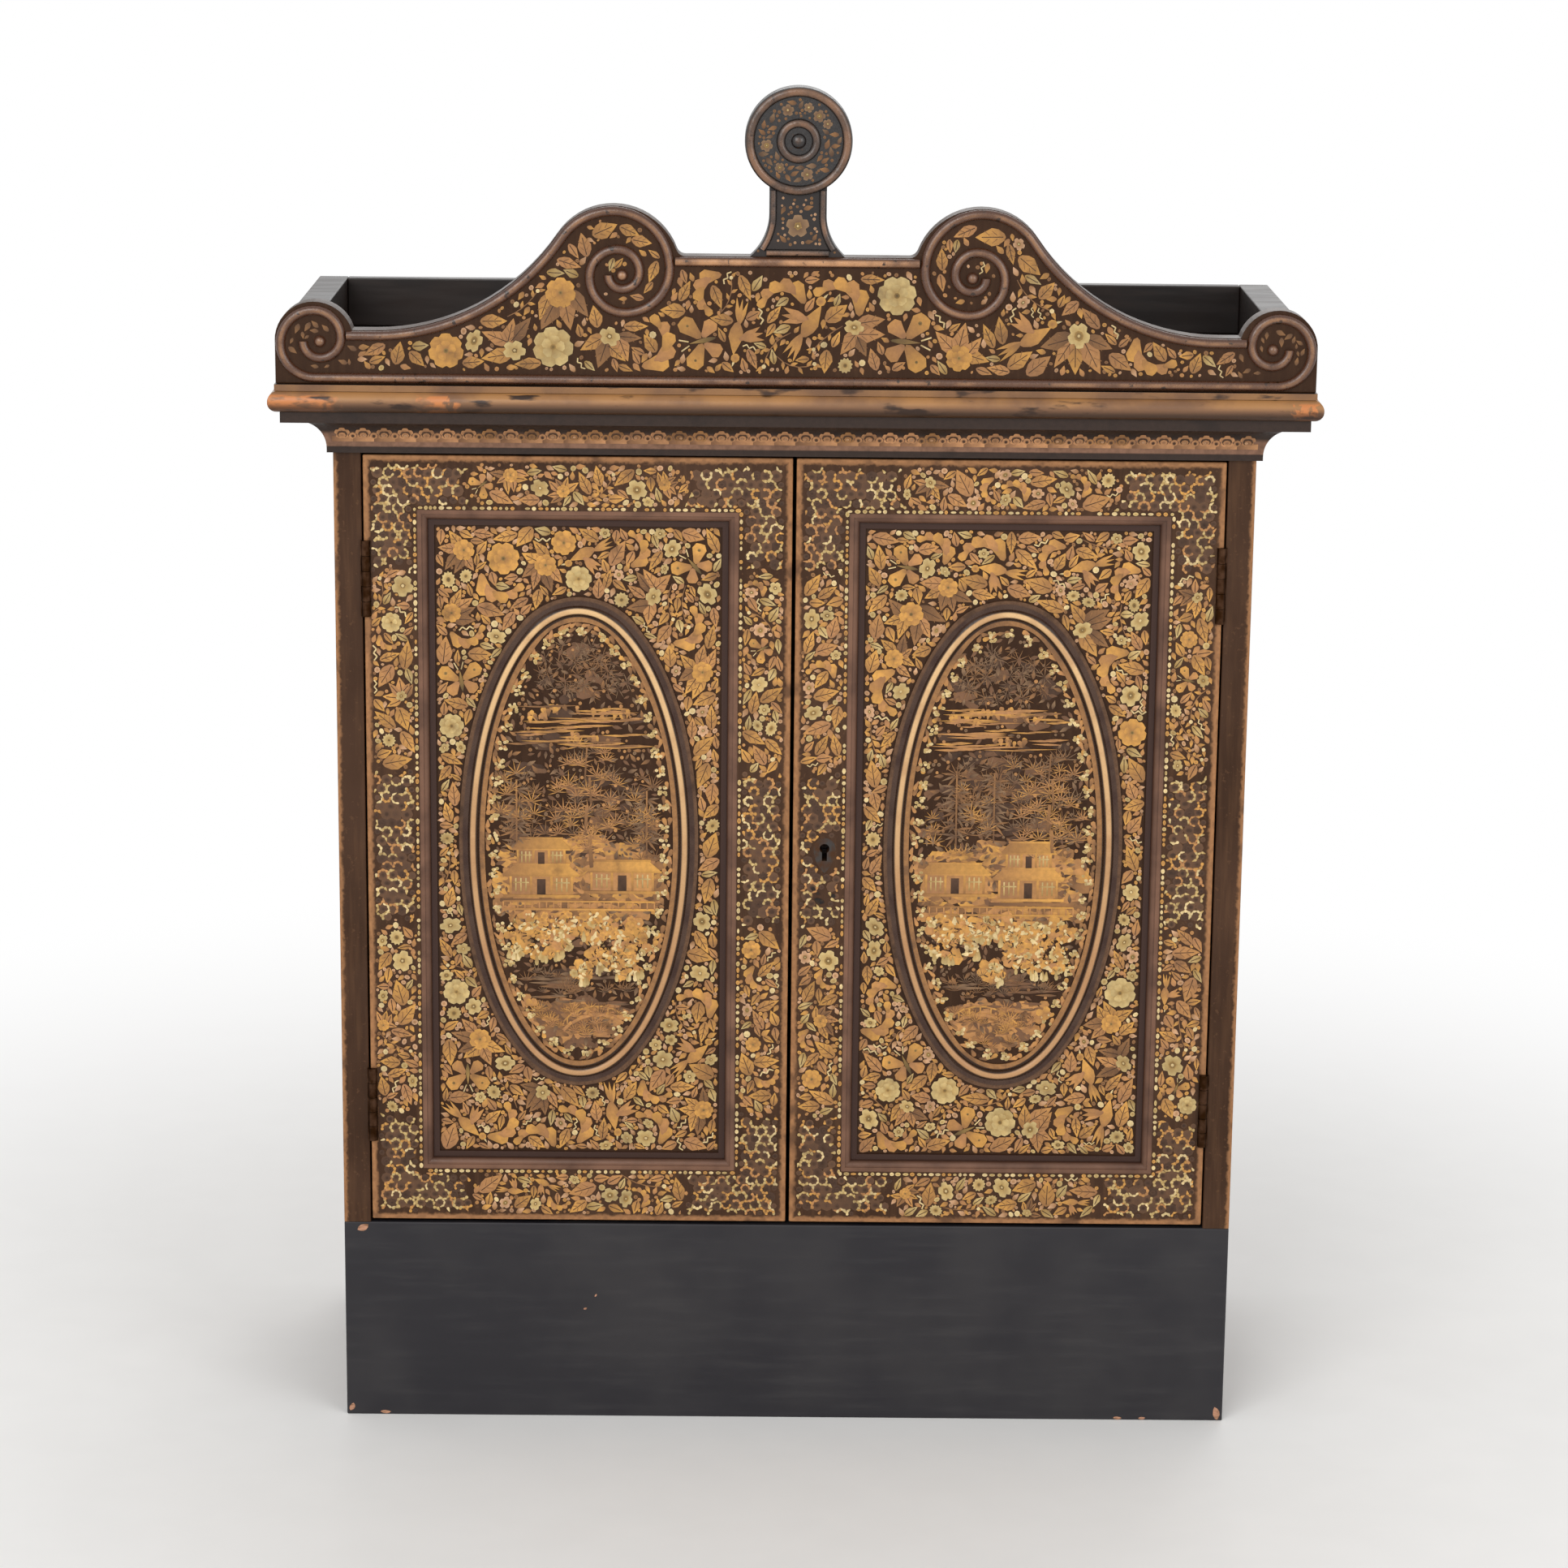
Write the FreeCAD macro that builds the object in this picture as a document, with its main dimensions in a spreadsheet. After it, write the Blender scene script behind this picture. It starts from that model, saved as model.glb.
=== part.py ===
"""A lacquered table cabinet: two panelled doors under a scrolled gallery with a disc finial.

Millimetres, +Z up, the front faces -Y. The origin lies at floor level under the middle of the whole.
"""
import FreeCAD, Part
import Sketcher
import math
import os
from types import SimpleNamespace

DIMENSIONS = {
    # Carcase
    "carcase_width": "500",
    "carcase_depth": "214",
    "side_thickness": "15",
    "plinth_height": "116",
    "plinth_thickness": "14",
    "bottom_thickness": "14",
    "housing_depth": "6",
    "back_thickness": "9",
    "back_rebate": "8",
    "back_board_gap": "0.4",
    "front_rail_depth": "28",
    "front_rail_shoulder": "6",
    "glue_block": "20",
    "glue_block_lift": "12",
    # Shelves and stops
    "shelf_thickness": "10",
    "shelf_setback": "34",
    "shelf_clearance": "0.5",
    "lower_shelf_rise": "150",
    "upper_shelf_rise": "302",
    "shelf_bearer": "12",
    "stop_length": "40",
    "stop_height": "8",
    "stop_clearance": "0.3",
    # Cornice and moulded top
    "cornice_height": "25.5",
    "cornice_reach": "25.5",
    "cornice_foot_reach": "3",
    "cornice_foot_height": "2.5",
    "cove_radius": "17",
    "nosing_reach": "31.5",
    "nosing_thickness": "11.5",
    "nosing_radius": "5.5",
    "deck_reach": "28",
    "deck_thickness": "3.5",
    # Gallery boards
    "gallery_end_inset": "0.5",
    "gallery_front_inset": "2.6",
    "gallery_front_thickness": "13",
    "gallery_side_height": "28",
    "gallery_side_thickness": "17",
    "gallery_back_thickness": "9",
    "end_volute_radius": "21",
    "end_volute_rise": "23",
    "sweep_low_rise": "29",
    "sweep_low_inset": "52.5",
    "arch_offset": "97.7",
    "arch_rise": "96.3",
    "arch_radius": "36",
    "rail_rise": "70",
    "rail_ear_radius": "5",
    # Beads on the gallery front
    "bead_radius": "2.6",
    "bead_inset": "2.9",
    "base_bead_rise": "3.5",
    "volute_radius": "30",
    "end_spiral_radius": "18",
    "spiral_shrink_share": "0.79",
    "eye_radius": "3.2",
    "bead_joint": "0.4",
    # Finial
    "finial_thickness": "11",
    "finial_disc_radius": "28.4",
    "finial_disc_rise": "61",
    "finial_neck_half": "15.2",
    "finial_base_half": "25",
    "finial_flare_rise": "22",
    "finial_tenon_half": "12",
    "finial_tenon_depth": "22",
    "finial_tenon_thickness": "5",
    "finial_bead_radius": "2",
    "roundel_base": "1.2",
    "roundel_rim": "2.6",
    "roundel_ring_radius": "9.4",
    "roundel_ring": "2.4",
    "roundel_boss_radius": "4",
    "roundel_boss_rise": "2",
    # Doors
    "door_foot_gap": "2",
    "door_head_gap": "1.5",
    "door_height": "436",
    "door_thickness": "18",
    "hinge_gap": "1",
    "meeting_gap": "2",
    "stile_width": "29",
    "door_rail_width": "30",
    "groove_depth": "6",
    "tenon_length": "20",
    "tenon_shoulder": "8",
    "tenon_clearance": "0.3",
    "panel_setback": "6",
    "panel_thickness": "6",
    "panel_tongue": "5.5",
    "panel_mould_width": "9",
    "panel_mould_height": "5.6",
    "panel_mould_fillet": "2.4",
    "panel_mould_quirk": "0.8",
    "panel_mould_foot": "1.4",
    "panel_mould_ovolo": "3.4",
    "oval_side_margin": "28.9",
    "oval_end_margin": "56",
    "oval_bead_radius": "3.2",
    "oval_skirt_width": "4.4",
    "oval_skirt_height": "1.5",
    "oval_ring_width": "3.2",
    "oval_ring_height": "0.9",
    # Hinges
    "hinge_inset": "68",
    "hinge_length": "42",
    "hinge_axis_inset": "2.2",
    "hinge_axis_proud": "1",
    "knuckle_radius": "2.5",
    "knuckle_clearance": "0.2",
    "knuckle_gap": "0.15",
    "hinge_pin_radius": "1.2",
    "hinge_pin_clearance": "0.05",
    "leaf_width": "13",
    "leaf_thickness": "1.3",
    "leaf_proud": "0.5",
    "screw_setback": "8",
    "screw_spacing": "14",
    "screw_head_radius": "2.1",
    "screw_head_height": "1",
    "screw_shank_radius": "1.1",
    "screw_length": "9",
    # Lock
    "lock_width": "23",
    "lock_height": "40",
    "lock_depth": "9",
    "lock_wall": "1.5",
    "lock_cap_thickness": "1.5",
    "lock_screw_inset": "3.2",
    "lock_screw_length": "14",
    "keyhole_backset": "17.6",
    "keyhole_radius": "2.7",
    "keyhole_slot_half": "1.4",
    "keyhole_slot_drop": "7",
    "key_space_radius": "4.4",
    "lock_bolt_rise": "8",
    "lock_bolt_height": "8",
    "lock_bolt_thickness": "4",
    "lock_bolt_length": "13",
    "lock_bolt_setback": "0.3",
    "bolt_clearance": "0.2",
    "strike_height": "26",
    "strike_width": "11",
    "strike_thickness": "1.2",
    "strike_clearance": "0.5",
    "strike_depth": "9",
    "escutcheon_radius": "6",
    "escutcheon_drop": "14",
    "escutcheon_flank_radius": "18",
    "escutcheon_thickness": "1",
    # Slide bolts behind the left door
    "slide_plate_width": "14",
    "slide_plate_height": "46",
    "slide_plate_margin": "3",
    "slide_plate_thickness": "1.2",
    "slide_bar_width": "5",
    "slide_bar_depth": "3.2",
    "slide_bar_length": "58",
    "slide_bar_margin": "1",
    "slide_staple_height": "6",
    "slide_staple_wall": "1.6",
    "slide_knob_radius": "2.4",
    "slide_knob_length": "5",
    "slide_knob_setback": "0.6",
    "slide_keep_depth": "10",
    # Cuts run this far past the faces that they open
    "overrun": "1",
}
BACK_BOARD_NAMES = ("back_board_lower", "back_board_middle", "back_board_upper")
KNUCKLES = 5
SCREWS_PER_LEAF = 3
VOLUTE_QUARTERS = 7
END_SPIRAL_QUARTERS = 5
OVAL_POINTS = 8
LEFT = -1
RIGHT = 1
HAND = {LEFT: "left", RIGHT: "right"}

doc = FreeCAD.newDocument("LacqueredCabinet")
sheet = doc.addObject("Spreadsheet::Sheet", "Sizes")
for row, (alias, number) in enumerate(DIMENSIONS.items(), start=1):
    sheet.set(f"A{row}", alias)
    sheet.set(f"B{row}", number)
    sheet.setAlias(f"B{row}", alias)
doc.recompute()


class Measure:
    """A length with its value and the sheet expression that gives it."""

    def __init__(self, text, value):
        self.text = text
        self.value = value

    def joined(self, sign, other, value):
        return Measure(f"({self.text} {sign} {other.text})", value)

    def __add__(self, other):
        return self.joined("+", other, self.value + other.value)

    def __sub__(self, other):
        return self.joined("-", other, self.value - other.value)

    def __mul__(self, other):
        other = as_measure(other)
        return self.joined("*", other, self.value * other.value)

    def __truediv__(self, other):
        other = as_measure(other)
        return self.joined("/", other, self.value / other.value)

    def __neg__(self):
        return ZERO - self


def as_measure(number):
    """Plain counts and halves take part in sums of measures."""
    return number if isinstance(number, Measure) else Measure(str(number), float(number))


def root(measure):
    return Measure(f"sqrt({measure.text})", math.sqrt(measure.value))


ZERO = Measure("0", 0.0)
size = SimpleNamespace(**{alias: Measure(f"Sizes.{alias}", float(sheet.get(alias))) for alias in DIMENSIONS})
nodes = {}

# Planes that several pieces share
half_width = size.carcase_width / 2
front = (size.nosing_reach - size.carcase_depth) / 2
back = front + size.carcase_depth
inner = half_width - size.side_thickness
board_back = back - size.back_thickness
rail_back = front + size.front_rail_depth
door_low = size.plinth_height + size.door_foot_gap
door_high = door_low + size.door_height
door_middle = (door_low + door_high) / 2
door_near = size.meeting_gap / 2
door_far = inner - size.hinge_gap
door_back = front + size.door_thickness
opening_near = door_near + size.stile_width
opening_far = door_far - size.stile_width
opening_low = door_low + size.door_rail_width
opening_high = door_high - size.door_rail_width
panel_front = front + size.panel_setback
panel_back = panel_front + size.panel_thickness
rail_low = door_high + size.door_head_gap
carcase_top = rail_low + size.cornice_height
deck = carcase_top + size.nosing_thickness + size.deck_thickness
hinge_offset = inner - size.hinge_axis_inset
hinge_plane = front - size.hinge_axis_proud
hinge_levels = (door_low + size.hinge_inset, door_high - size.hinge_inset)
gallery_half = half_width + size.deck_reach - size.gallery_end_inset
sweep_low = gallery_half - size.sweep_low_inset
gallery_face = front - size.deck_reach + size.gallery_front_inset
gallery_inside = gallery_face + size.gallery_front_thickness


def bind(item, prop, measure):
    item.setExpression(prop, measure.text)


def move(item, x, y, z):
    """Tie an object's place to the sheet."""
    for axis, measure in zip("xyz", (x, y, z)):
        bind(item, f"Placement.Base.{axis}", measure)
    return item


def keep(item, label):
    """Name a finished piece, whose label is also its file name."""
    item.Label = label
    nodes[label] = item
    return item


def across(side, near, far):
    """The span between two distances from the centre plane, on one hand of it."""
    return (near, far) if side == RIGHT else (-far, -near)


def about(centre, half):
    return (centre - half, centre + half)


def box(name, x, y, z):
    """A block between two planes on each axis."""
    block = doc.addObject("Part::Box", name)
    for prop, (low, high) in zip(("Length", "Width", "Height"), (x, y, z)):
        bind(block, prop, high - low)
    return move(block, x[0], y[0], z[0])


def turned(item, direction):
    """Point an upright round solid along a direction."""
    item.Placement = FreeCAD.Placement(FreeCAD.Vector(), FreeCAD.Rotation(FreeCAD.Vector(0, 0, 1), direction))
    return item


def cylinder(name, radius, length, start, direction):
    rod = doc.addObject("Part::Cylinder", name)
    bind(rod, "Radius", radius)
    bind(rod, "Height", length)
    return move(turned(rod, direction), *start)


def fuse(name, shapes):
    whole = doc.addObject("Part::MultiFuse", name)
    whole.Shapes = shapes
    return whole


def group(name, shapes):
    """Separate solids that share one node."""
    whole = doc.addObject("Part::Compound", name)
    whole.Links = shapes
    return whole


def cut(name, base, voids):
    result = doc.addObject("Part::Cut", name)
    result.Base = base
    result.Tool = voids[0] if len(voids) == 1 else fuse(f"{name}_voids", voids)
    return result


def new_sketch(body, name, role, lift=ZERO):
    """A sketch on one of its body's origin planes, lifted along the plane's normal."""
    sketch = body.newObject("Sketcher::SketchObject", name)
    plane = next(feature for feature in body.Origin.OriginFeatures if feature.Role == role)
    sketch.AttachmentSupport = (plane, [""])
    sketch.MapMode = "FlatFace"
    bind(sketch, "AttachmentOffset.Base.z", lift)
    return sketch


def arc_centre(start, end, radius, turn, large):
    """Centre of the arc between two points; turn is 1 counter-clockwise and -1 clockwise."""
    chord = end - start
    height = math.sqrt(max(radius ** 2 - (chord.Length / 2) ** 2, 0))
    normal = FreeCAD.Vector(-chord.y, chord.x, 0).normalize()
    return (start + end) / 2 + normal * (height * turn * (-1 if large else 1))


def draw(sketch, corners):
    """Close an outline. A corner is (x, y), or (x, y, radius, turn, large) where an arc leads to it."""
    points = [FreeCAD.Vector(corner[0].value, corner[1].value, 0) for corner in corners]
    ends = []
    for index, corner in enumerate(corners):
        start, end = points[index - 1], points[index]
        if len(corner) == 2:
            sketch.addGeometry(Part.LineSegment(start, end))
            ends.append((1, 2))
            continue
        radius, turn, large = corner[2:]
        centre = arc_centre(start, end, radius.value, turn, large)
        low, high = (start, end) if turn > 0 else (end, start)
        angles = [math.atan2(point.y - centre.y, point.x - centre.x) for point in (low, high)]
        circle = Part.Circle(centre, FreeCAD.Vector(0, 0, 1), radius.value)
        sketch.addGeometry(Part.ArcOfCircle(circle, angles[0], angles[1]))
        ends.append((1, 2) if turn > 0 else (2, 1))
    for index, corner in enumerate(corners):
        sketch.addConstraint(Sketcher.Constraint("Coincident", index, ends[index][0],
                                                 (index - 1) % len(corners), ends[index - 1][1]))
    for index, corner in enumerate(corners):
        for kind, measure in zip(("DistanceX", "DistanceY"), corner[:2]):
            place = sketch.addConstraint(Sketcher.Constraint(kind, index, ends[index][1], measure.value))
            bind(sketch, f"Constraints[{place}]", measure)
        if len(corner) > 2:
            place = sketch.addConstraint(Sketcher.Constraint("Radius", index, corner[2].value))
            bind(sketch, f"Constraints[{place}]", corner[2])


def half_turn(centre, level, radius):
    """Two corners of an outline that swells below a level in a half circle."""
    return ((centre, level - radius, radius, 1, False), (centre + radius, level, radius, 1, False))


def rectangle(x, y):
    return [(x[0], y[0]), (x[1], y[0]), (x[1], y[1]), (x[0], y[1])]


def pad(body, name, sketch, length, reverse=False):
    feature = body.newObject("PartDesign::Pad", name)
    feature.Profile = sketch
    feature.Reversed = reverse
    bind(feature, "Length", length)
    return feature


def moulding(name, profile, run, width, mitres):
    """A moulded strip along X. A mitre of 1 lengthens the profile's far side, -1 shortens it, 0 is square."""
    body = doc.addObject("PartDesign::Body", name)
    reach = [width if mitre > 0 else ZERO for mitre in mitres]
    section = new_sketch(body, f"{name}_section", "YZ_Plane", -reach[0])
    draw(section, profile)
    pad(body, f"{name}_run", section, run + reach[0] + reach[1])
    beyond = width + size.overrun
    for mitre, end, outward in ((mitres[0], ZERO, -1), (mitres[1], run, 1)):
        if mitre == 0:
            continue
        waste = new_sketch(body, f"{name}_mitre", "XY_Plane")
        inside = end - size.overrun * (outward * mitre)
        outside = end + beyond * (outward * mitre)
        corner = (outside, -size.overrun) if mitre > 0 else (inside, beyond)
        draw(waste, [(inside, -size.overrun), (outside, beyond), corner])
        pocket = body.newObject("PartDesign::Pocket", f"{name}_mitre_cut")
        pocket.Profile = waste
        pocket.Type = "ThroughAll"
        pocket.Reversed = True
    return body


# Carcase

def carcase_side(side):
    """A side board with its joints, and recesses for the hinge leaves and their screws."""
    board = box("side_board", across(side, inner, half_width), (front, back), (ZERO, carcase_top))
    housing = across(side, inner - size.overrun, inner + size.housing_depth)
    beyond = half_width + size.overrun
    voids = [
        box("plinth_notch", across(side, inner - size.overrun, beyond),
            (front - size.overrun, front + size.plinth_thickness), (-size.overrun, size.plinth_height)),
        box("bottom_housing", housing, (front, board_back),
            (size.plinth_height - size.bottom_thickness, size.plinth_height)),
        box("back_rebate", across(side, inner - size.overrun, inner + size.back_rebate),
            (board_back, back + size.overrun), (-size.overrun, carcase_top + size.overrun)),
        box("rail_housing", housing, (front + size.front_rail_shoulder, rail_back),
            (rail_low, carcase_top + size.overrun)),
        frame_screws[side],
    ]
    recess = across(side, inner - size.overrun, inner + size.leaf_thickness - size.leaf_proud)
    for level in hinge_levels:
        voids.append(box("leaf_recess", recess, (front - size.overrun, front + size.leaf_width),
                         about(level, size.hinge_length / 2)))
        voids.append(barrel("knuckle_room", side, size.knuckle_radius + size.knuckle_clearance,
                            about(level, size.hinge_length / 2)))
    keep(cut(f"side_{HAND[side]}_cut", board, voids), f"side_{HAND[side]}")


def carcase_boards():
    """Plinth, bottom, front rail and back."""
    bottom_low = size.plinth_height - size.bottom_thickness
    reach = inner + size.housing_depth
    keep(box("plinth", about(ZERO, half_width), (front, front + size.plinth_thickness),
             (ZERO, size.plinth_height)), "plinth_front")
    bottom = box("bottom_board", about(ZERO, reach), (front + size.plinth_thickness, board_back),
                 (bottom_low, size.plinth_height))
    keep(cut("bottom_cut", bottom, [slide_keep(size.plinth_height, -1)]), "carcase_bottom")
    rail = box("rail_front", about(ZERO, inner), (front, rail_back), (rail_low, carcase_top))
    tenon = box("rail_tenon", about(ZERO, reach), (front + size.front_rail_shoulder, rail_back),
                (rail_low, carcase_top))
    keep(cut("rail_cut", fuse("rail_whole", [rail, tenon]), [slide_keep(rail_low, 1)]), "front_top_rail")
    pitch = (carcase_top + size.back_board_gap) / len(BACK_BOARD_NAMES)
    for index, label in enumerate(BACK_BOARD_NAMES):
        low = pitch * index
        keep(box("back_board", about(ZERO, inner + size.back_rebate), (board_back, back),
                 (low, low + pitch - size.back_board_gap)), label)
    blocks = []
    for side in (LEFT, RIGHT):
        for depth in ((front + size.plinth_thickness, front + size.plinth_thickness + size.glue_block),
                      (board_back - size.glue_block, board_back)):
            blocks.append(box("glue_block", across(side, inner - size.glue_block, inner), depth,
                              (size.glue_block_lift, bottom_low)))
    keep(group("glue_blocks", blocks), "plinth_blocks")


def carcase_fittings():
    """Two shelves on bearers, and the blocks that the doors close against."""
    bearers = []
    for label, rise in (("lower_shelf", size.lower_shelf_rise), ("upper_shelf", size.upper_shelf_rise)):
        level = size.plinth_height + rise
        depth = (front + size.shelf_setback, board_back)
        keep(box("shelf", about(ZERO, inner - size.shelf_clearance), depth,
                 (level, level + size.shelf_thickness)), label)
        for side in (LEFT, RIGHT):
            bearers.append(box("bearer", across(side, inner - size.shelf_bearer, inner), depth,
                               (level - size.shelf_bearer, level)))
    keep(group("bearers", bearers), "shelf_bearers")
    stops = []
    centre = (door_near + door_far) / 2
    for side in (LEFT, RIGHT):
        for height in ((size.plinth_height, size.plinth_height + size.stop_height),
                       (rail_low - size.stop_height, rail_low)):
            stops.append(box("stop", across(side, *about(centre, size.stop_length / 2)),
                             (door_back + size.stop_clearance, rail_back), height))
    keep(group("stops", stops), "door_stops")


def cornice():
    """Coved moulding on the front and both sides, mitred at the front corners."""
    cove_end = (size.cornice_foot_reach + size.cove_radius, size.cornice_foot_height + size.cove_radius)
    profile = [
        (ZERO, ZERO),
        (size.cornice_foot_reach, ZERO),
        (size.cornice_foot_reach, size.cornice_foot_height),
        (*cove_end, size.cove_radius, -1, False),
        (size.cornice_reach, cove_end[1]),
        (size.cornice_reach, size.cornice_height),
        (ZERO, size.cornice_height),
    ]
    runs = (
        ("cornice_right", size.carcase_depth, (0, 1), -90, (half_width, back)),
        ("cornice_front", size.carcase_width, (1, 1), 180, (half_width, front)),
        ("cornice_left", size.carcase_depth, (1, 0), 90, (-half_width, front)),
    )
    for label, run, mitres, angle, corner in runs:
        strip = moulding(f"{label}_strip", profile, run, size.cornice_reach, mitres)
        turn = FreeCAD.Rotation(FreeCAD.Vector(0, 0, 1), angle)
        strip.Placement = FreeCAD.Placement(FreeCAD.Vector(), turn)
        keep(move(strip, *corner, rail_low), label)


def top_board():
    """The moulded top: a half-round nosing on three edges under a thin stepped deck."""
    body = doc.addObject("PartDesign::Body", "top")
    slab_sketch = new_sketch(body, "slab_outline", "XY_Plane")
    slab_span = about(ZERO, half_width + size.nosing_reach)
    draw(slab_sketch, rectangle(slab_span, (front - size.nosing_reach, back)))
    slab = pad(body, "slab", slab_sketch, size.nosing_thickness)
    doc.recompute()
    rounded = []
    for index, edge in enumerate(slab.Shape.Edges, start=1):
        middle = edge.CenterOfMass
        level = abs(edge.Vertexes[0].Z - edge.Vertexes[-1].Z) < size.overrun.value
        if level and middle.y < back.value - size.overrun.value:
            rounded.append(f"Edge{index}")
    nosing = body.newObject("PartDesign::Fillet", "nosing")
    nosing.Base = (slab, rounded)
    bind(nosing, "Radius", size.nosing_radius)
    deck_sketch = new_sketch(body, "deck_outline", "XY_Plane", size.nosing_thickness)
    draw(deck_sketch, rectangle(about(ZERO, half_width + size.deck_reach), (front - size.deck_reach, back)))
    pad(body, "deck", deck_sketch, size.deck_thickness)
    keep(move(body, ZERO, ZERO, carcase_top), "top_board")


# Gallery

def point(x, z):
    """A point on the gallery's face, with z counted from the deck."""
    return FreeCAD.Vector(x, 0, z)


def line(start, end):
    return Part.LineSegment(point(*start), point(*end)).toShape()


def arc(centre, radius, start, end):
    """A circular arc between two angles in radians, either way round."""
    places = []
    for angle in (start, (start + end) / 2, end):
        places.append(point(centre[0] + radius * math.cos(angle), centre[1] + radius * math.sin(angle)))
    return Part.Arc(*places).toShape()


def mirrored(shape):
    return shape.mirror(FreeCAD.Vector(), FreeCAD.Vector(1, 0, 0))


def spiral(start, radius, angle, quarters, steady):
    """Tangent quarter turns, counter-clockwise from an angle; after the steady ones each is smaller."""
    edges = []
    centre = (start[0] - radius * math.cos(angle), start[1] - radius * math.sin(angle))
    for quarter in range(quarters):
        if quarter >= steady:
            smaller = radius * size.spiral_shrink_share.value
            shift = radius - smaller
            centre = (centre[0] + shift * math.cos(angle), centre[1] + shift * math.sin(angle))
            radius = smaller
        edges.append(arc(centre, radius, angle, angle + math.pi / 2))
        angle += math.pi / 2
    return edges, centre


def scroll():
    """The curve of the gallery's front, worked out from its arches so that its arcs meet smoothly."""
    rise = size.arch_rise.value - size.sweep_low_rise.value
    span = sweep_low.value - size.arch_offset.value
    lean = 2 * math.atan2(rise, span)
    sweep_radius = span / math.sin(lean) - size.arch_radius.value
    sweep_centre = (sweep_low.value, size.sweep_low_rise.value + sweep_radius)
    arch_centre = (size.arch_offset.value, size.arch_rise.value - size.arch_radius.value)
    return SimpleNamespace(lean=lean, radius=sweep_radius, sweep=sweep_centre, arch=arch_centre)


def gallery_front():
    """The scrolled front board: end volutes, sweeps, arches and a level rail with the finial's mortise."""
    curve = scroll()
    half = gallery_half.value
    radius = size.end_volute_radius.value
    low = size.sweep_low_rise.value
    rail = size.rail_rise.value
    ear = size.rail_ear_radius.value
    volute = (half - radius, size.end_volute_rise.value)
    dip = math.asin((low - volute[1]) / radius)
    ear_reach = size.arch_radius.value + ear
    ear_angle = math.asin((rail + ear - curve.arch[1]) / ear_reach)
    ear_centre = (curve.arch[0] - ear_reach * math.cos(ear_angle), rail + ear)
    edges = [
        line((half, 0), (half, volute[1])),
        arc(volute, radius, 0, math.pi - dip),
        line((volute[0] - radius * math.cos(dip), low), (curve.sweep[0], low)),
        arc(curve.sweep, curve.radius, -math.pi / 2, -math.pi / 2 - curve.lean),
        arc(curve.arch, size.arch_radius.value, math.pi / 2 - curve.lean, math.pi - ear_angle),
        arc(ear_centre, ear, -ear_angle, -math.pi / 2),
        line((ear_centre[0], rail), (0, rail)),
    ]
    edges += [mirrored(edge) for edge in edges]
    edges.append(line((-half, 0), (half, 0)))
    outline = Part.Wire(Part.__sortEdges__(edges))
    thickness = size.gallery_front_thickness.value
    board = Part.Face(outline).extrude(FreeCAD.Vector(0, thickness, 0))
    mortise = Part.makeBox(2 * size.finial_tenon_half.value, size.finial_tenon_thickness.value,
                           size.finial_tenon_depth.value + size.overrun.value)
    mortise.translate(FreeCAD.Vector(-size.finial_tenon_half.value,
                                     (thickness - size.finial_tenon_thickness.value) / 2,
                                     rail - size.finial_tenon_depth.value))
    piece = doc.addObject("Part::Feature", "scroll_board")
    piece.Shape = board.cut(mortise)
    keep(move(piece, ZERO, gallery_face, deck), "gallery_front")


def applied_bead(edges, profile, crown):
    """Sweep a bead along tangent edges. The profile's points lie aside of the path and out from its face.

    An arc over the crown joins the first two points, and straight lines join the others.
    """
    start = edges[0].valueAt(edges[0].FirstParameter)
    aside = edges[0].tangentAt(edges[0].FirstParameter).cross(FreeCAD.Vector(0, 1, 0)).normalize()
    places = [start + aside * reach - FreeCAD.Vector(0, rise, 0) for reach, rise in profile]
    section = [Part.Arc(places[0], start - FreeCAD.Vector(0, crown, 0), places[1]).toShape()]
    for first, second in zip(places[1:], places[2:] + places[:1]):
        section.append(Part.LineSegment(first, second).toShape())
    return Part.Wire(edges).makePipeShell([Part.Wire(section)], True, False)


def half_round(edges, radius):
    """A half-round bead with its flat on the face behind."""
    return applied_bead(edges, [(-radius, 0), (radius, 0)], radius)


def eye(centre):
    """The half-ball button at the heart of a volute."""
    ball = Part.makeSphere(size.eye_radius.value)
    half = Part.makeBox(size.eye_radius.value * 2, size.eye_radius.value, size.eye_radius.value * 2)
    half.translate(FreeCAD.Vector(-size.eye_radius.value, -size.eye_radius.value, -size.eye_radius.value))
    button = ball.common(half)
    button.translate(point(*centre))
    return button


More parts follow.
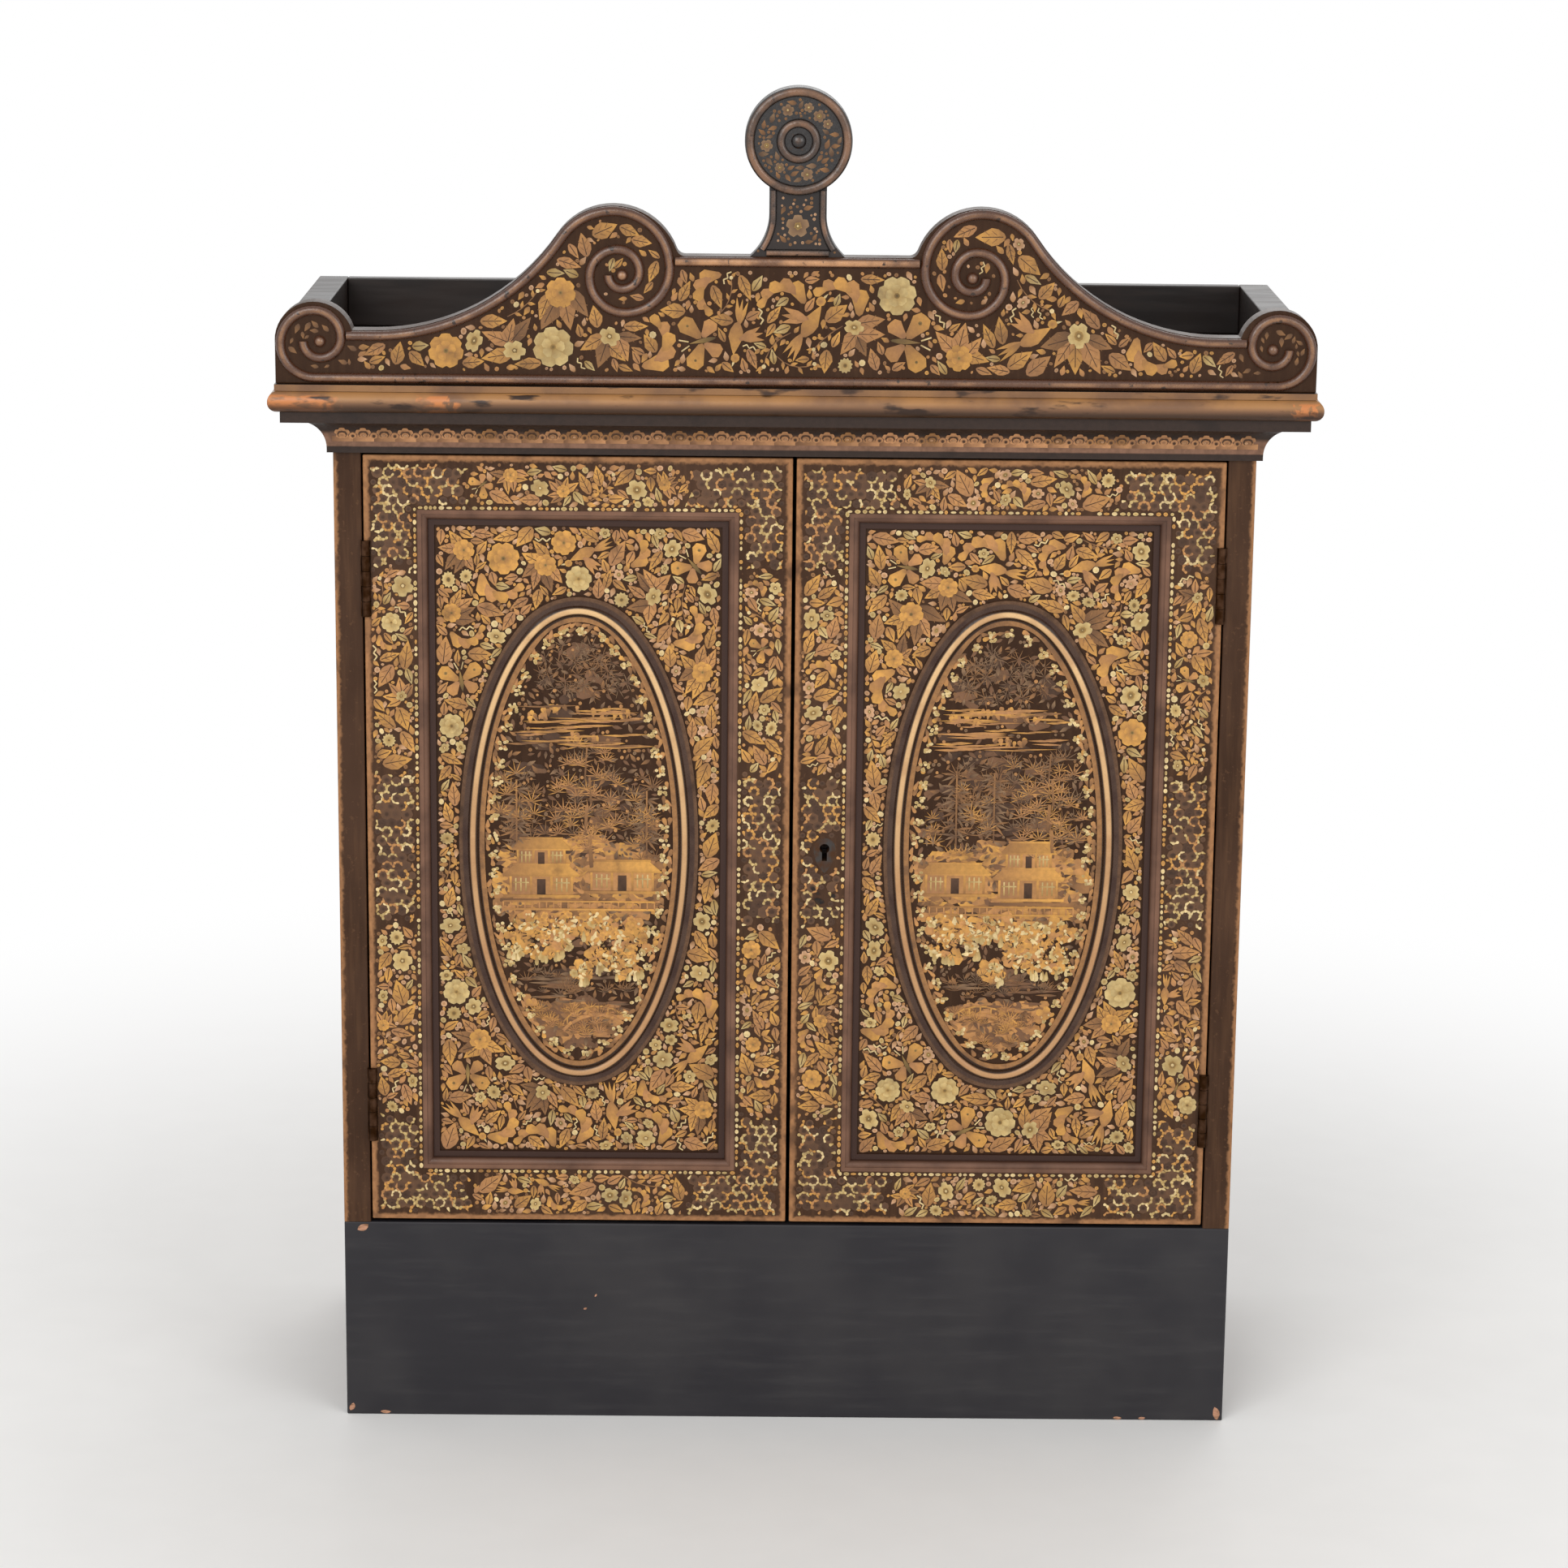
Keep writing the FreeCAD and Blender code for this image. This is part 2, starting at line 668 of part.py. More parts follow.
def gallery_beads():
    """Half-round beads: one round each volute along the top edge, one along the base, one on the rail."""
    curve = scroll()
    inset = size.bead_inset.value
    radius = size.bead_radius.value
    low = size.sweep_low_rise.value - inset
    base = size.base_bead_rise.value
    volute_x = gallery_half.value - size.end_volute_radius.value
    crown = (size.arch_offset.value, size.arch_rise.value - inset)
    turns, heart = spiral(crown, size.volute_radius.value, math.pi / 2, VOLUTE_QUARTERS, 1)
    scroll_edges = [
        arc(curve.sweep, curve.radius + inset, -math.pi / 2, -math.pi / 2 - curve.lean),
        arc(curve.arch, size.arch_radius.value - inset, math.pi / 2 - curve.lean, math.pi / 2),
    ] + turns
    scroll_bead = half_round(scroll_edges, radius)
    ends, end_heart = spiral((volute_x, base), size.end_spiral_radius.value, -math.pi / 2,
                             END_SPIRAL_QUARTERS, 2)
    base_half = half_round([line((0, base), (volute_x, base))] + ends, radius)
    base_bead = base_half.fuse(mirrored(base_half)).removeSplitter()
    rail_half = size.arch_offset.value - size.volute_radius.value - radius - size.bead_joint.value
    rail_level = size.rail_rise.value - inset
    rail_bead = half_round([line((-rail_half, rail_level), (rail_half, rail_level))], radius)
    end_turn = size.end_spiral_radius.value * size.spiral_shrink_share.value
    lead_start = volute_x - end_turn - radius - size.bead_joint.value
    lead = half_round([line((lead_start, low), (curve.sweep[0], low))], radius)
    right_bead = Part.makeCompound([scroll_bead.fuse(lead).removeSplitter(), eye(heart)])
    shapes = {
        "scroll_bead_right": right_bead,
        "scroll_bead_left": mirrored(right_bead),
        "base_bead": Part.makeCompound([base_bead, eye(end_heart), mirrored(eye(end_heart))]),
        "rail_bead": rail_bead,
    }
    for label, shape in shapes.items():
        piece = doc.addObject("Part::Feature", f"{label}_shape")
        piece.Shape = shape
        keep(move(piece, ZERO, gallery_face, deck), label)


def gallery_walls():
    """Low boards that close the sides and the back of the tray behind the scrolled front."""
    wall = gallery_half - size.gallery_side_thickness
    height = (deck, deck + size.gallery_side_height)
    for side in (LEFT, RIGHT):
        tray_side = box("tray_side", across(side, wall, gallery_half), (gallery_inside, back), height)
        keep(tray_side, f"gallery_{HAND[side]}")
    tray_back = box("tray_back", about(ZERO, wall), (back - size.gallery_back_thickness, back), height)
    keep(tray_back, "gallery_back")


def finial():
    """A disc on a flared neck, tenoned into the rail, with a turned roundel and border beads on its face."""
    face = gallery_face + (size.gallery_front_thickness - size.finial_thickness) / 2
    foot = deck + size.rail_rise
    flare = size.finial_base_half - size.finial_neck_half
    flare_radius = (flare * flare + size.finial_flare_rise * size.finial_flare_rise) / (flare * 2)
    neck_top = size.finial_disc_rise - root(size.finial_disc_radius * size.finial_disc_radius
                                            - size.finial_neck_half * size.finial_neck_half)
    body = doc.addObject("PartDesign::Body", "post")
    outline = new_sketch(body, "post_outline", "XZ_Plane")
    draw(outline, [
        (size.finial_base_half, ZERO),
        (size.finial_neck_half, size.finial_flare_rise, flare_radius, -1, False),
        (size.finial_neck_half, neck_top),
        (-size.finial_neck_half, neck_top, size.finial_disc_radius, 1, True),
        (-size.finial_neck_half, size.finial_flare_rise),
        (-size.finial_base_half, ZERO, flare_radius, -1, False),
    ])
    pad(body, "post_board", outline, size.finial_thickness, reverse=True)
    tenon_front = (size.finial_thickness - size.finial_tenon_thickness) / 2
    tenon = new_sketch(body, "post_tenon_outline", "XZ_Plane", -tenon_front)
    tenon_rise = (-size.finial_tenon_depth, size.finial_bead_radius)
    draw(tenon, rectangle(about(ZERO, size.finial_tenon_half), tenon_rise))
    pad(body, "post_tenon", tenon, size.finial_tenon_thickness, reverse=True)
    keep(move(body, ZERO, face, foot), "finial_post")
    roundel = doc.addObject("PartDesign::Body", "roundel")
    section = new_sketch(roundel, "roundel_section", "XY_Plane")
    field = -size.roundel_base
    boss_radius = size.roundel_boss_radius
    boss_rise = size.roundel_boss_rise
    boss_round = (boss_radius * boss_radius + boss_rise * boss_rise) / (boss_rise * 2)
    draw(section, [
        (ZERO, ZERO),
        (ZERO, field - boss_rise),
        (boss_radius, field, boss_round, 1, False),
        (size.roundel_ring_radius - size.roundel_ring, field),
        *half_turn(size.roundel_ring_radius, field, size.roundel_ring),
        (size.finial_disc_radius - size.roundel_rim * 2, field),
        *half_turn(size.finial_disc_radius - size.roundel_rim, field, size.roundel_rim),
        (size.finial_disc_radius, ZERO),
    ])
    turning = roundel.newObject("PartDesign::Revolution", "roundel_turning")
    turning.Profile = section
    turning.ReferenceAxis = (section, ["V_Axis"])
    turning.Angle = 360
    keep(move(roundel, ZERO, face, foot + size.finial_disc_rise), "finial_roundel")
    keep(finial_beads(face, foot, flare_radius, neck_top), "finial_beads")


def finial_beads(face, foot, flare_radius, neck_top):
    """Border beads up both edges of the neck and along its foot."""
    radius = size.finial_bead_radius.value
    edge = size.finial_neck_half.value - radius
    flare_centre = (size.finial_neck_half.value + flare_radius.value, size.finial_flare_rise.value)
    sunk = math.asin((size.finial_flare_rise.value - 2 * radius) / (flare_radius.value + radius))
    foot_end = flare_centre[0] - (flare_radius.value + radius) * math.cos(sunk)
    clear = radius + size.bead_joint.value
    below_disc = neck_top.value - size.finial_bead_radius.value
    side_bead = half_round([arc(flare_centre, flare_radius.value + radius, math.pi + sunk, math.pi),
                            line((edge, size.finial_flare_rise.value), (edge, below_disc))], radius)
    foot_bead = half_round([line((-foot_end + clear, radius), (foot_end - clear, radius))], radius)
    piece = doc.addObject("Part::Feature", "post_beads")
    piece.Shape = Part.makeCompound([side_bead, mirrored(side_bead), foot_bead])
    return move(piece, ZERO, face, foot)


# Doors

def door_stile(side, near, far, inside, voids, label):
    """An upright door member with its panel groove and two mortises; inside is its edge on the opening."""
    depth = (panel_front, panel_back)
    board = box("stile_board", across(side, near, far), (front, door_back), (door_low, door_high))
    toward = 1 if inside is far else -1
    groove = sorted_span(inside - size.groove_depth * toward, inside + size.overrun * toward)
    mortise = sorted_span(inside - (size.tenon_length + size.tenon_clearance) * toward,
                          inside + size.overrun * toward)
    voids.append(box("groove", across(side, *groove), depth,
                     (door_low + size.tenon_shoulder, door_high - size.tenon_shoulder)))
    for height in tenon_heights():
        voids.append(box("mortise", across(side, *mortise), depth, height))
    keep(cut(f"{label}_cut", board, voids), label)


def sorted_span(first, second):
    return (first, second) if first.value < second.value else (second, first)


def tenon_heights():
    """The tenons stand clear of the panel groove and of the door's ends."""
    return ((door_low + size.tenon_shoulder, opening_low - size.groove_depth),
            (opening_high + size.groove_depth, door_high - size.tenon_shoulder))


def door_rails(side):
    depth = (panel_front, panel_back)
    span = across(side, opening_near, opening_far)
    long_span = across(side, opening_near - size.tenon_length, opening_far + size.tenon_length)
    heights = ((door_low, opening_low), (opening_high, door_high))
    grooves = ((opening_low - size.groove_depth, opening_low + size.overrun),
               (opening_high - size.overrun, opening_high + size.groove_depth))
    for name, height, groove, tenon in zip(("bottom_rail", "top_rail"), heights, grooves, tenon_heights()):
        rail = fuse("rail_tenoned", [box("rail_board", span, (front, door_back), height),
                                     box("rail_tenons", long_span, depth, tenon)])
        void = box("rail_groove", long_span, depth, groove)
        label = f"{HAND[side]}_{name}"
        keep(cut(f"{label}_cut", rail, [void]), label)


def door_panel(side):
    """A plain panel in the grooves, with its mitred moulding and oval bead."""
    hand = HAND[side]
    tongue = size.panel_tongue
    board = box("panel_board", across(side, opening_near - tongue, opening_far + tongue),
                (panel_front, panel_back), (opening_low - tongue, opening_high + tongue))
    keep(board, f"{hand}_panel")
    step = size.panel_mould_height - size.panel_mould_quirk
    ovolo_end = size.panel_mould_fillet + size.panel_mould_ovolo
    profile = [
        (ZERO, ZERO),
        (size.panel_mould_width, ZERO),
        (size.panel_mould_width, size.panel_mould_foot),
        (ovolo_end, step - size.panel_mould_ovolo),
        (size.panel_mould_fillet, step, size.panel_mould_ovolo, 1, False),
        (size.panel_mould_fillet, size.panel_mould_height),
        (ZERO, size.panel_mould_height),
    ]
    left, right = across(side, opening_near, opening_far)
    wide = right - left
    tall = opening_high - opening_low
    corners = ((left, opening_low, wide), (right, opening_low, tall),
               (right, opening_high, wide), (left, opening_high, tall))
    strips = []
    for quarter, (x, z, run) in enumerate(corners):
        strip = moulding(f"{hand}_moulding", profile, run, size.panel_mould_width, (-1, -1))
        turn = FreeCAD.Rotation(FreeCAD.Vector(0, 1, 0), -90 * quarter)
        stand = FreeCAD.Rotation(FreeCAD.Vector(1, 0, 0), 90)
        strip.Placement = FreeCAD.Placement(FreeCAD.Vector(), turn.multiply(stand))
        strips.append(move(strip, x, panel_front, z))
    keep(group(f"{hand}_mouldings", strips), f"{hand}_panel_moulding")
    bead = doc.addObject("Part::Feature", f"{hand}_oval")
    centre = (opening_near + opening_far) / 2
    oval = oval_edges((wide / 2 - size.oval_side_margin).value, (tall / 2 - size.oval_end_margin).value)
    bead.Shape = applied_bead(oval, oval_profile(), size.oval_bead_radius.value)
    keep(move(bead, centre * side, panel_front, door_middle), f"{hand}_oval_bead")


def oval_profile():
    """A half-round bead between a flat skirt outside it and a lower ring inside it."""
    radius = size.oval_bead_radius.value
    skirt = size.oval_skirt_height.value
    ring = size.oval_ring_height.value
    outer = radius + size.oval_skirt_width.value
    inside = radius + size.oval_ring_width.value
    return [
        (-math.sqrt(radius ** 2 - skirt ** 2), skirt),
        (math.sqrt(radius ** 2 - ring ** 2), ring),
        (inside, ring),
        (inside, 0),
        (-outer, 0),
        (-outer, skirt),
    ]


def oval_edges(wide, tall):
    """An ellipse drawn with pairs of tangent arcs between points on it."""
    edges = []
    places = []
    for index in range(OVAL_POINTS + 1):
        angle = 2 * math.pi * index / OVAL_POINTS
        along = point(-wide * math.sin(angle), tall * math.cos(angle)).normalize()
        places.append((point(wide * math.cos(angle), tall * math.sin(angle)), along))
    for (start, leaving), (end, arriving) in zip(places, places[1:]):
        chord = end - start
        both = leaving + arriving
        spread = 2 * (1 - leaving.dot(arriving))
        reach = (math.sqrt(chord.dot(both) ** 2 + spread * chord.dot(chord)) - chord.dot(both)) / spread
        middle = (start + end + (leaving - arriving) * reach) / 2
        edges.append(tangent_arc(start, leaving, middle))
        edges.append(tangent_arc(end, -arriving, middle, reverse=True))
    return edges


def tangent_arc(start, along, end, reverse=False):
    """The arc that leaves a point along a direction and ends at another point."""
    chord = end - start
    normal = FreeCAD.Vector(0, 1, 0).cross(along)
    centre = start + normal * (chord.dot(chord) / (2 * normal.dot(chord)))
    radius = (start - centre).Length
    crown = centre + ((start + end) / 2 - centre).normalize() * radius
    return Part.Arc(*((end, crown, start) if reverse else (start, crown, end))).toShape()


def door(side, hinge_voids, meeting_voids):
    hand = HAND[side]
    door_stile(side, opening_far, door_far, opening_far, hinge_voids, f"{hand}_hinge_stile")
    door_stile(side, door_near, opening_near, opening_near, meeting_voids, f"{hand}_meeting_stile")
    door_rails(side)
    door_panel(side)


# Hinges

def barrel(name, side, radius, height):
    """A round upright solid on the hinge line."""
    return cylinder(name, radius, height[1] - height[0], (hinge_offset * side, hinge_plane, height[0]),
                    FreeCAD.Vector(0, 0, 1))


def screw_set(side, face, outward):
    """The countersunk screws of one hand's leaves, with their heads flush with the leaf's face."""
    direction = FreeCAD.Vector(side * outward, 0, 0)
    screws = []
    for level in hinge_levels:
        for index in range(SCREWS_PER_LEAF):
            height = level + size.screw_spacing * (index - (SCREWS_PER_LEAF - 1) // 2)
            start = (face * side, front + size.screw_setback, height)
            screws.append(screw(start, direction, size.screw_length))
    return screws


def screw(start, direction, length):
    head = doc.addObject("Part::Cone", "screw_head")
    bind(head, "Radius1", size.screw_head_radius)
    bind(head, "Radius2", size.screw_shank_radius)
    bind(head, "Height", size.screw_head_height)
    move(turned(head, direction), *start)
    shank = cylinder("screw_shank", size.screw_shank_radius, length, start, direction)
    return fuse("screw", [head, shank])


def hinge_leaf(side, level, near, own):
    """One leaf: a plate from the hinge line into its recess, with its own knuckles of the barrel."""
    height = about(level, size.hinge_length / 2)
    plate = box("plate", across(side, near, near + size.leaf_thickness),
                (hinge_plane, front + size.leaf_width), height)
    whole = fuse("leaf_blank", [plate, barrel("knuckles", side, size.knuckle_radius, height)])
    pitch = size.hinge_length / KNUCKLES
    voids = [barrel("bore", side, size.hinge_pin_radius + size.hinge_pin_clearance,
                    (height[0] - size.overrun, height[1] + size.overrun))]
    for index in range(KNUCKLES):
        if index % 2 == own:
            continue
        low = height[0] + pitch * index
        voids.append(barrel("knuckle_gap", side, size.knuckle_radius + size.knuckle_clearance,
                            (low - size.knuckle_gap, low + pitch + size.knuckle_gap)))
    return cut("leaf_cut", whole, voids)


def hinges():
    """Butt hinges: the frame's leaves hold the pins and outer knuckles, the doors' leaves turn on them."""
    frame_leaves = []
    pins = []
    for side in (LEFT, RIGHT):
        hand = HAND[side]
        near = inner - size.leaf_proud
        leaves = group("frame_leaf_pair", [hinge_leaf(side, level, near, 0) for level in hinge_levels])
        frame_leaves.append(cut(f"{hand}_frame_leaves", leaves, [frame_screws[side]]))
        leaves = group("door_leaf_pair", [hinge_leaf(side, level, door_far - size.leaf_thickness, 1)
                                          for level in hinge_levels])
        keep(cut(f"{hand}_leaves", leaves, [door_screws[side]]), f"{hand}_door_hinge_leaves")
        keep(door_screws[side], f"{hand}_door_hinge_screws")
        for level in hinge_levels:
            pins.append(barrel("pin", side, size.hinge_pin_radius, about(level, size.hinge_length / 2)))
    keep(group("frame_leaves", frame_leaves), "frame_hinge_leaves")
    keep(group("frame_screws", list(frame_screws.values())), "frame_hinge_screws")
    keep(group("pins", pins), "hinge_pins")


def hinge_recesses(side):
    """Room in a hinge stile for its leaves, their screws and the barrels."""
    voids = [door_screws[side]]
    for level in hinge_levels:
        height = about(level, size.hinge_length / 2)
        voids.append(box("leaf_recess", across(side, door_far - size.leaf_thickness, door_far + size.overrun),
                         (front - size.overrun, front + size.leaf_width), height))
        voids.append(barrel("knuckle_room", side, size.knuckle_radius + size.knuckle_clearance, height))
    return voids


# Lock on the right door and its strike on the left

keyhole_x = door_near + size.keyhole_backset
lock_span = (door_near, door_near + size.lock_width)
lock_height = about(door_middle, size.lock_height / 2)
lock_front = door_back - size.lock_depth
bolt_plane = lock_front + size.lock_depth / 2
bolt_level = door_middle + size.lock_bolt_rise


def keyhole(name, start, end):
    """A round eye with a narrower drop below it, cut from one plane to another."""
    eye_hole = cylinder("keyhole_eye", size.keyhole_radius, end - start, (keyhole_x, start, door_middle),
                        FreeCAD.Vector(0, 1, 0))
    drop = box("keyhole_drop", about(keyhole_x, size.keyhole_slot_half), (start, end),
               (door_middle - size.keyhole_slot_drop, door_middle))
    return fuse(name, [eye_hole, drop])


def escutcheon_blank():
    """A shield-shaped inlay: a round head drawn down to a point."""
    body = doc.addObject("PartDesign::Body", "shield")
    outline = new_sketch(body, "shield_outline", "XZ_Plane")
    draw(outline, [
        (ZERO, size.escutcheon_radius, size.escutcheon_radius, 1, False),
        (-size.escutcheon_radius, ZERO, size.escutcheon_radius, 1, False),
        (ZERO, -size.escutcheon_drop, size.escutcheon_flank_radius, 1, False),
        (size.escutcheon_radius, ZERO, size.escutcheon_flank_radius, 1, False),
    ])
    pad(body, "shield_plate", outline, size.escutcheon_thickness, reverse=True)
    return move(body, keyhole_x, front, door_middle)


def lock_screw_set():
    screws = []
    for x in (lock_span[0] + size.lock_screw_inset, lock_span[1] - size.lock_screw_inset):
        for z in (lock_height[0] + size.lock_screw_inset, lock_height[1] - size.lock_screw_inset):
            screws.append(screw((x, door_back + size.lock_cap_thickness, z), FreeCAD.Vector(0, -1, 0),
                                size.lock_screw_length))
    return fuse("lock_screw_group", screws)


def bolt_room(name, x, clearance):
    """The space that the lock bolt slides in, between two planes."""
    return box(name, x, about(bolt_plane, size.lock_bolt_thickness / 2 + clearance),
               about(bolt_level, size.lock_bolt_height / 2 + clearance))


def lock():
    """A cut cupboard lock let into the back of the right meeting stile; returns what that stile loses."""
    screws = keep(lock_screw_set(), "lock_screws")
    hole = keyhole("keyhole_through", front - size.overrun, door_back - size.lock_wall)
    shield = escutcheon_blank()
    keep(cut("shield_pierced", shield, [hole]), "escutcheon")
    case = box("case_block", lock_span, (lock_front, door_back), lock_height)
    rest = door_near + size.lock_bolt_setback
    tail = rest + size.lock_bolt_length
    key_space = cylinder("key_space", size.key_space_radius, size.lock_depth - size.lock_wall + size.overrun,
                         (keyhole_x, lock_front + size.lock_wall, door_middle), FreeCAD.Vector(0, 1, 0))
    run = (door_near - size.overrun, tail + size.bolt_clearance)
    channel = bolt_room("bolt_channel", run, size.bolt_clearance)
    keep(cut("case_hollowed", case, [key_space, channel, hole, screws]), "lock_case")
    cap = box("cap_plate", lock_span, (door_back, door_back + size.lock_cap_thickness), lock_height)
    keep(cut("cap_drilled", cap, [screws]), "lock_cap")
    keep(bolt_room("bolt_bar", (rest, tail), ZERO), "lock_bolt")
    recess = box("lock_recess", (door_near - size.overrun, lock_span[1]),
                 (lock_front, door_back + size.overrun), lock_height)
    return [recess, shield, hole, screws]


def strike():
    """The plate on the left meeting stile that takes the lock bolt; returns what that stile loses."""
    edge = -door_near
    depth = about(bolt_plane, size.strike_width / 2)
    height = about(bolt_level, size.strike_height / 2)
    plate = box("strike_blank", (edge - size.strike_thickness, edge), depth, height)
    slot = bolt_room("strike_slot", (edge - size.strike_depth, edge + size.overrun), size.strike_clearance)
    keep(cut("strike_slotted", plate, [slot]), "strike_plate")
    seat = box("strike_seat", (edge - size.strike_thickness, edge + size.overrun), depth, height)
    return [seat, slot]


# Slide bolts behind the left door

slide_x = -(door_near + size.stile_width / 2)
slide_floor = door_back + size.slide_plate_thickness


def slide_bar_depth(clearance):
    low = slide_floor + size.bolt_clearance
    return (low - clearance, low + size.slide_bar_depth + clearance)


def slide_keep(level, up):
    """The hole that a slide bolt enters, above or below a level."""
    room = size.strike_clearance
    return box("slide_keep", about(slide_x, size.slide_bar_width / 2 + room), slide_bar_depth(room),
               sorted_span(level - size.overrun * up, level + size.slide_keep_depth * up))


def slide_bolt(name, end, up):
    """A flat bolt in two staples on a plate; end is the door's end that it shoots past."""

    def height(first, second):
        return sorted_span(end - first * up, end - second * up)

    plate_start = size.slide_plate_margin
    plate_end = plate_start + size.slide_plate_height
    plate = box("slide_plate", about(slide_x, size.slide_plate_width / 2), (door_back, slide_floor),
                height(plate_start, plate_end))
    pieces = [plate]
    staple_depth = (slide_floor, slide_bar_depth(size.bolt_clearance)[1] + size.slide_staple_wall)
    staple_half = size.slide_bar_width / 2 + size.bolt_clearance + size.slide_staple_wall
    for first in (plate_start, plate_end - size.slide_staple_height):
        pieces.append(box("staple", about(slide_x, staple_half), staple_depth,
                          height(first, first + size.slide_staple_height)))
    channel = box("slide_channel", about(slide_x, size.slide_bar_width / 2 + size.bolt_clearance),
                  (slide_floor, slide_bar_depth(size.bolt_clearance)[1]),
                  height(plate_start - size.overrun, plate_end + size.overrun))
    bar = box("slide_bar", about(slide_x, size.slide_bar_width / 2), slide_bar_depth(ZERO),
              height(size.slide_bar_margin, size.slide_bar_margin + size.slide_bar_length))
    knob_drop = plate_end - size.slide_staple_height - size.slide_knob_radius - size.slide_knob_setback
    knob = cylinder("slide_knob", size.slide_knob_radius, size.slide_knob_length + size.slide_bar_depth / 2,
                    (slide_x, slide_bar_depth(ZERO)[1] - size.slide_bar_depth / 2, end - knob_drop * up),
                    FreeCAD.Vector(0, 1, 0))
    keep(fuse(f"{name}_whole", [bar, knob]), name)
    return cut(f"{name}_staples", fuse(f"{name}_plate", pieces), [channel])


# Build order: screws first, because they drill what they hold
frame_screws = {side: fuse("frame_screw_group", screw_set(side, inner - size.leaf_proud, 1)) for side in HAND}
door_screws = {side: fuse("door_screw_group", screw_set(side, door_far, -1)) for side in HAND}
for hand_side in HAND:
    carcase_side(hand_side)
carcase_boards()
carcase_fittings()
cornice()
top_board()
gallery_front()
gallery_beads()
gallery_walls()
finial()
door(LEFT, hinge_recesses(LEFT), strike())
door(RIGHT, hinge_recesses(RIGHT), lock())
hinges()
slide_plates = [slide_bolt("upper_slide_bolt", door_high, 1), slide_bolt("lower_slide_bolt", door_low, -1)]
keep(group("slide_plates", slide_plates), "slide_bolt_plates")
doc.recompute()

for item in doc.Objects:
    if "Invalid" in item.State or "Error" in item.State:
        raise RuntimeError(f"{item.Label} did not rebuild: {item.State}")
os.makedirs("parts", exist_ok=True)
for label, item in nodes.items():
    if item.Shape.isNull() or not item.Shape.isValid():
        raise RuntimeError(f"{label} has no valid shape")
    if item.Label != label:
        raise RuntimeError(f"{label} was renamed to {item.Label}")
for label, item in nodes.items():
    item.Shape.exportStep(os.path.join("parts", f"{label}.step"))
print(f"{len(nodes)} pieces written")
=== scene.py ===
"""Dress the lacquered cabinet: lacquer, gilding, mouldings, wear, stage and camera."""

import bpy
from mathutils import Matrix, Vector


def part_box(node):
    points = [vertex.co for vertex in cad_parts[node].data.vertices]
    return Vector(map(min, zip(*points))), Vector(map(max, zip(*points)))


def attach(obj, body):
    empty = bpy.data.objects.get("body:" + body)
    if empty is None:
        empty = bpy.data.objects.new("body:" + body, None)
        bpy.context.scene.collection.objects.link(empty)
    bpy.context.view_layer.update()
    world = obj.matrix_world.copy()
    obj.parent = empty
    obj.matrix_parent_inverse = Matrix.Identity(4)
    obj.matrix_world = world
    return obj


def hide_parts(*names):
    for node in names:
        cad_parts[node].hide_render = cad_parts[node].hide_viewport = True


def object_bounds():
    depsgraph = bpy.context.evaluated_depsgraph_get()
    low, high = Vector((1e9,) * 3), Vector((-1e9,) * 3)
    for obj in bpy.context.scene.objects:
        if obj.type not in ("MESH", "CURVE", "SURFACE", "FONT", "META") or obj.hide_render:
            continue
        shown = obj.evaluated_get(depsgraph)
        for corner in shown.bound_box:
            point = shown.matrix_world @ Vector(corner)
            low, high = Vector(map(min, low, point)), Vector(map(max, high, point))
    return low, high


bl_info = {
    "name": "Lacquered cabinet",
    "version": (1, 0, 0),
    "blender": (4, 5, 0),
    "location": "View3D > Sidebar > Cabinet",
    "description": "Lacquer, gilding and wear for a two-door cabinet with a scrolled gallery",
    "category": "Object",
}

import math
from functools import partial
from types import SimpleNamespace

import bpy
import numpy as np
from bpy.props import FloatProperty, FloatVectorProperty, IntProperty, PointerProperty
from mathutils import Matrix, Vector

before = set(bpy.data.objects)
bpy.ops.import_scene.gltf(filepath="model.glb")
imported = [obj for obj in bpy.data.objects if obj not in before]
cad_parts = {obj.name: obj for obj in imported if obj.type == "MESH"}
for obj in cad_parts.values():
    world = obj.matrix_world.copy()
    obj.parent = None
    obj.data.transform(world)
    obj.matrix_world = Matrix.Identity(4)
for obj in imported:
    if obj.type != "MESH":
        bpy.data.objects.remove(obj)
CAD_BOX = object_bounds()
MM = 0.001
QUARTER = math.pi / 2
HANDS = ("left", "right")
GALLERY_BEADS = ("scroll_bead_left", "scroll_bead_right", "base_bead", "rail_bead")
FRONT_AXES = (0, 2)


def linear(code):
    """An sRGB hex colour as linear RGB."""
    parts = [int(code[place:place + 2], 16) / 255 for place in (1, 3, 5)]
    return tuple(part / 12.92 if part <= 0.04045 else ((part + 0.055) / 1.055) ** 2.4 for part in parts)


def colour(label, words, code):
    return FloatVectorProperty(name=label, description=words, subtype="COLOR", size=3, min=0, max=1,
                               default=linear(code))


def length(label, words, millimetres):
    return FloatProperty(name=label, description=words, subtype="DISTANCE", unit="LENGTH", min=0,
                         default=millimetres * MM)


def angle(label, words, degrees):
    return FloatProperty(name=label, description=words, subtype="ANGLE", unit="ROTATION",
                         default=math.radians(degrees))


